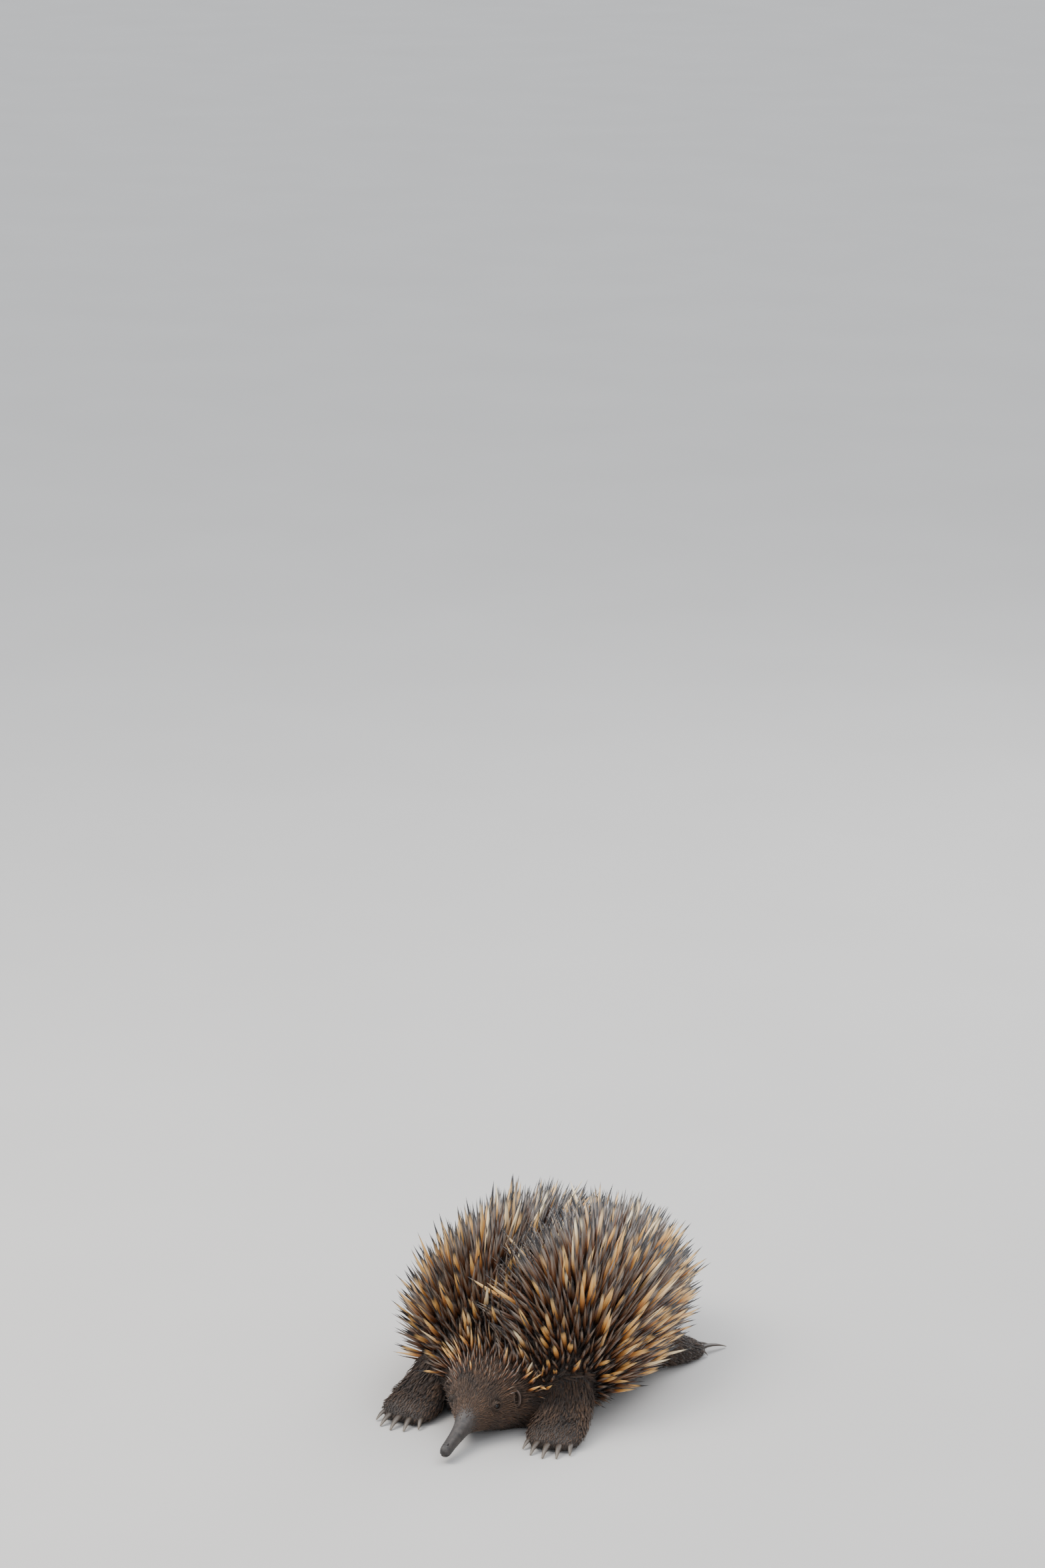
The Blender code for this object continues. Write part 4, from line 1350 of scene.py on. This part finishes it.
# Amber spines are commoner at the flanks and low on the left, and rarer on the crown, the parting and the top
warm = 0.030 * eased(np.abs(x), 0.060, 0.095) + 0.024 * eased(-z, -0.085, -0.035) * eased(x, -0.02, 0.05)
warm -= 0.04 * (1 - eased(y, -0.125, -0.095)) + 0.05 * bell(x - 0.010, 0.030)
warm -= 0.06 * eased(z, 0.080, 0.115) * (1 - eased(np.abs(x), 0.055, 0.085)) * (1 - eased(y, 0.06, 0.12))
# Painted sky sheen, strongest on the highest spines: the dark ones are mixed toward bluish grey as painted
# reflection, and more of them are pale cream as painted highlight
sky_sheen = 0.30 + 0.70 * eased(z, 0.070, 0.120) * eased(y, -0.090, 0.010)

# By the parting the right side's spines stand in rows, and the left side's cross between them
rows = eased(np.sin(2 * np.pi * y / PARTING_STEP), -0.25, 0.25)
by_parting = 1 - eased(np.abs(x - parting), 0.012, 0.024)
back = spiny * (y > CROWN_REAR) * (y < TAIL_FRONT) * (1 - by_parting * rows * (x < parting))

girths = SPINE_RADIUS * (0.12 + 0.88 * np.clip(lengths / SPINE_LENGTH, 0, 1))
reaches = lengths + between(COAT_DEPTH, y)
spine_inputs = {"Shortest": 0.74, "Longest": 1.06, "Stray": 0.19, "Roll": 3.14, "Patch length": 0.005}
spine_inputs.update({"Thin": 0.70, "Stout": 1.20, "Low": 0.93, "Tall": 1.14})
spine = spine_pattern()
spine_rows = (
    ("spines_back_left", back * (x >= parting), 0.0043, 11),
    ("spines_back_right", back * (x < parting), 0.0043, 12),
    ("spines_crown", spiny * (y <= CROWN_REAR), 0.0035, 13),
    ("spines_tail", spiny * (y >= TAIL_FRONT), 0.0031, 14),
)
tones = {"warm": warm, "sky_sheen": sky_sheen}
grow_coat(spine_rows, "spines", spine, SPINE_HORN, lies, reaches, girths, tones, spine_inputs)

# Fur of the head, which parts round the eyes and stands up before the ears
furred = eased(y, -0.1930, -0.1770) * eased(to_eye, 0.0046, 0.0056) * eased(to_ear, 0.0050, 0.0060)
head = np.where(on_body, furred * (1 - eased(y, -0.120, -0.114)), 0.0)
face = y < FACE_REAR
way_back = np.tile((0.0, 1.0, 0.0), (len(x), 1))
way_back[:, 2] += 0.10 * eased(z, 0.030, 0.060) - 0.22 * (1 - eased(z, 0.010, 0.030))
for place in eye_places:
    away = skin_points - place
    near = 0.9 * (1 - eased(np.linalg.norm(away, axis=1), 0.006, 0.013))
    way_back += unit(away) * near[:, None]
before_ear = (1 - eased(to_ear, 0.0055, 0.0095)) * on_body * (y < EAR_Y + 0.001)
head_lift = 0.20 + 0.22 * eased(y, -0.175, -0.135) + 0.34 * before_ear
head_size = 0.0022 + 0.0022 * eased(y, -0.190, -0.176) + 0.0040 * eased(y, -0.176, -0.135)
head_size *= 1 - 0.35 * (1 - eased(to_eye, 0.006, 0.010)) - 0.18 * before_ear
head_girth = 0.00010 + 0.00007 * eased(y, -0.180, -0.140)
tuft = tuft_pattern()
fur_inputs = {"Shortest": 0.7, "Longest": 1.25, "Stray": 0.22, "Roll": 0.5}


def grow_fur(rows, lie, size, girth, shade):
    tones = {"shade": np.broadcast_to(shade, len(x))}
    grow_coat(rows, "fur", tuft, FUR, lie, size, np.broadcast_to(girth, len(x)), tones, fur_inputs)


head_rows = (
    ("fur_face", head * face, 0.00118, 20),
    ("fur_head_left", head * ~face * (x >= 0), 0.00118, 21),
    ("fur_head_right", head * ~face * (x < 0), 0.00118, 22),
)
head_shade = 0.9 + 0.45 * (1 - eased(y, -0.150, -0.125))
grow_fur(head_rows, laid(way_back, head_lift), head_size, head_girth, head_shade)

# Fur of the legs, clear of the claws
to_claw = np.full(len(x), 1.0)
for *_, roots in LIMBS:
    for root, heading, length, width in roots:
        away = skin_points - np.array(root)
        along = np.clip((away @ np.array(heading)), -0.002, length)
        line = away - along[:, None] * np.array(heading)
        to_claw = np.minimum(to_claw, np.linalg.norm(line, axis=1) - width / 2)
leg_share = np.where(on_body, 0.0, eased(to_claw, 0.0001, 0.0010) * eased(z, 0.0010, 0.0018))
leg_rows = [
    ("fur_leg_" + name, leg_share * (skin_parts == number), 0.0019, 30 + number)
    for number, (name, *_) in enumerate(LIMBS, start=1)
]
leg_size = 0.0110 - 0.0070 * eased(limb_share, 0.50, 1.00)
leg_girth = 0.00030 - 0.00012 * eased(limb_share, 0.55, 0.95)
grow_fur(leg_rows, laid(limb_way + np.array((0.0, 0.0, -0.25)), 0.30), leg_size, leg_girth, 1.0)

# Fur between the spines
under = np.where(on_body, eased(spiny, 0.2, 0.6), 0.0) * (y > -0.120)
rear_end = y > TAIL_FUR_FRONT
under_rows = (
    ("fur_back_left", under * ~rear_end * (x >= 0), 0.0046, 41),
    ("fur_back_right", under * ~rear_end * (x < 0), 0.0046, 42),
    ("fur_tail", under * rear_end, 0.0030, 43),
)
under_lie = unit(laid(way_back + lies * 0.8, 0.55) + lies * 0.7)
under_girth = 0.00055 - 0.00018 * eased(y, 0.130, 0.145)
under_shade = 0.55 + 0.30 * eased(y, 0.130, 0.155)
grow_fur(under_rows, under_lie, np.minimum(0.0150, lengths * 0.42), under_girth, under_shade)

# Fur of the flanks and the belly, below the spines
hem = np.where(on_body, 1 - eased(spiny, 0.2, 0.8), 0.0) * eased(y, -0.124, -0.116)
off_floor = eased(z, 0.002, 0.012)
hem_rows = (
    ("fur_belly", hem * (z < BELLY_TOP), 0.0056, 51),
    ("fur_flanks", hem * (z >= BELLY_TOP), 0.0024, 52),
)
hanging = np.stack([0.35 * np.sign(x), 0 * x, -0.55 * np.ones(len(x))], axis=1)
hem_lie = laid(way_back + hanging * off_floor[:, None], 0.10 + 0.22 * off_floor)
grow_fur(hem_rows, hem_lie, 0.0090 + 0.0040 * eased(z, 0.004, 0.020), 0.00034, 0.85)

for pattern in (spine, tuft):
    bpy.data.objects.remove(pattern, do_unlink=True)

# The skin itself, with painted shade in the mouth, nostrils, ears and lids, and under the spines
dark = 0.75 * mouth_share(y, z, levels, undersides, 0.0, 0.0005)
dark += 0.85 * (1 - eased(nostril_span(x, y), 0.3, 1.1)) * (z > levels)
dark += 0.9 * (1 - eased(to_ear, 0.0020, 0.0042)) + 0.6 * (1 - eased(to_eye, 0.0030, 0.0046))
set_values(skin.data, "dark", np.clip(dark, 0, 1))
set_values(skin.data, "bare", 1 - np.where(on_body, eased(y, -0.1890, -0.1740), 0.55))
set_values(skin.data, "shade", 1 - 0.55 * eased(spiny, 0.0, 0.5))
dress(skin, SKIN)
pieces.append((skin, "beak_skin"))


def make_eye(word, side):
    centre, out = eye_place(side)
    bm = ball(40, 28, EYE_RADIUS)
    bm.transform(Matrix.Translation(centre) @ out.to_track_quat("Z", "Y").to_matrix().to_4x4())
    facing = [max((vert.co - centre).normalized().dot(out), 0.0) for vert in bm.verts]
    eye = as_object("eye_" + word + "_ball", bm)
    set_values(eye.data, "facing", facing)
    dress(eye, EYE_DARK)
    return eye


def make_ear(word, side):
    """The fleshy rim of the ear's slit, thicker behind and drawn in at its ends."""
    point, out = on_trunk(EAR_Y, EAR_Z, side)
    forward, up = flat_frame(out, side)
    around, sides = 84, 22
    rings = []
    for i in range(around):
        turn = 2 * math.pi * i / around
        ahead, high = math.cos(turn), math.sin(turn)
        behind = max(-ahead, 0.0)
        narrow = 1.0 - 0.34 * abs(high) ** 3
        middle = point + forward * EAR_RIM[0] * ahead * narrow * 0.84 + up * EAR_RIM[1] * high * 0.94
        rise = 0.0002 + 0.0022 * behind**0.8 - 0.0012 * high**4
        rise += 0.0003 * math.sin(3 * turn + 1.3 * side)
        middle += out * rise + forward * 0.0011 * behind + up * 0.0004 * math.sin(2 * turn)
        away = (forward * EAR_RIM[1] * ahead + up * EAR_RIM[0] * high).normalized()
        thick = EAR_THICK * (0.48 + 0.52 * behind**0.6 + 0.05 * math.sin(5 * turn + side))
        ring = []
        for j in range(sides):
            roll = 2 * math.pi * j / sides
            lean = away * (-0.75 * behind) * max(math.sin(roll), 0.0)
            offset = away * math.cos(roll) * 0.62 + out * math.sin(roll) * (1.05 + 0.35 * behind) + lean
            ring.append(middle + offset * thick)
        rings.append(ring)
    ear = as_object("ear_" + word + "_rim", loft(rings, closed=True))
    dress(ear, EAR_SKIN)
    return ear


def make_claws():
    pattern = claw_pattern()
    for name, *_, roots in LIMBS:
        mesh = bpy.data.meshes.new(name + "_roots")
        mesh.from_pydata([root for root, _, _, _ in roots], [], [])
        set_values(mesh, "heading", [heading for _, heading, _, _ in roots], "FLOAT_VECTOR")
        sizes = [(width / 2, width / 2, length) for _, _, length, width in roots]
        set_values(mesh, "size", sizes, "FLOAT_VECTOR")
        made = grown("claws_" + name, mesh, CLAWS, CLAW_BAND, Pattern=pattern, Finish=CLAW_HORN)
        pieces.append((made, "claw"))
    bpy.data.objects.remove(pattern, do_unlink=True)


replaced = {"skin": ["torso", "neck", "head", "beak", "tail"]}
replaced["skin"] += [limb + "_" + word for limb in ("foreleg", "hindleg") for word, _ in SIDES]
for word, side in SIDES:
    for piece, node, slot in (
        (make_eye(word, side), "eye_" + word, "eye"),
        (make_ear(word, side), "ear_" + word, "ear_skin"),
    ):
        replaced[piece.name] = [node]
        pieces.append((piece, slot))
make_claws()

# The body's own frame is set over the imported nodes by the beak
beak_low, beak_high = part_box("beak")
place = Vector(((beak_low.x + beak_high.x) / 2, beak_low.y - SECTIONS[0][0], 0.0))
for piece, slot in pieces:
    piece.data.transform(Matrix.Translation(place))
    piece.data.update()
    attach(piece, "root")
    if piece.name in replaced:
        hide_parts(*replaced[piece.name])

# Disk lamps that look at the body: name, place, power, size, colour
LAMPS = (
    ("key", (-1.2, -0.9, 2.2), 64.0, 1.6, (1.0, 0.97, 0.93)),
    ("fill", (2.2, -1.8, 1.4), 20.0, 2.2, (0.93, 0.96, 1.0)),
    ("back", (0.6, 2.2, 1.9), 44.0, 1.8, (0.95, 0.97, 1.0)),
)
SKY_POWER, SKY_SPREAD = 2.2, 1.2  # a broad soft light from above, even as far as the floor goes
FLOOR_REACH, FLOOR_LEVEL = 60.0, -0.0003


def make_lamp(name, kind, power, colour):
    lamp = bpy.data.lights.new(name, kind)
    lamp.energy = power
    lamp.color = colour
    return add_object(name, lamp)


def make_stage():
    """A plain pale floor under soft studio light."""
    corners = ((-1, -1), (1, -1), (1, 1), (-1, 1))
    mesh = bpy.data.meshes.new("floor")
    points = [(a * FLOOR_REACH, b * FLOOR_REACH, FLOOR_LEVEL) for a, b in corners]
    mesh.from_pydata(points, [], [(0, 1, 2, 3)])
    floor = add_object("floor", mesh)
    floor.data.materials.append(floor_material())
    world = bpy.data.worlds.new("studio")
    world.use_nodes = True
    world.node_tree.nodes["Background"].inputs["Color"].default_value = (0.84, 0.90, 1.0, 1)
    world.node_tree.nodes["Background"].inputs["Strength"].default_value = 0.80
    bpy.context.scene.world = world
    for name, spot, power, size, colour in LAMPS:
        made = make_lamp(name, "AREA", power, colour)
        made.data.shape = "DISK"
        made.data.size = size
        made.location = spot
        made.rotation_euler = (Vector((0, 0, 0.05)) - Vector(spot)).to_track_quat("-Z", "Y").to_euler()
    sky = make_lamp("sky", "SUN", SKY_POWER, (0.94, 0.97, 1.0))
    sky.data.angle = SKY_SPREAD
    sky.rotation_euler = (math.radians(-8.0), math.radians(6.0), 0.0)


def make_camera():
    """Looks past the body, so that the body shows at its place in the frame."""
    focal = LENS / SENSOR * FRAME_HEIGHT
    flat = math.cos(CAMERA_RISE)
    away = Vector((math.sin(CAMERA_TURN) * flat, -math.cos(CAMERA_TURN) * flat, math.sin(CAMERA_RISE)))
    ahead = -away
    right = ahead.cross(UP).normalized()
    up = right.cross(ahead)
    side_turn, down_turn = (math.atan((a - b) / focal) for a, b in zip(BODY_IN_FRAME, FRAME_MIDDLE))
    ahead = ahead * math.cos(down_turn) + up * math.sin(down_turn)
    ahead = ahead * math.cos(side_turn) - right * math.sin(side_turn)
    camera = bpy.data.cameras.new("camera")
    camera.lens = LENS
    camera.sensor_width = SENSOR
    camera.clip_end = 200.0
    made = add_object("camera", camera)
    made.location = place + away * focal / PIXELS_PER_METRE
    made.rotation_euler = ahead.to_track_quat("-Z", "Y").to_euler()
    bpy.context.scene.camera = made


make_stage()
make_camera()
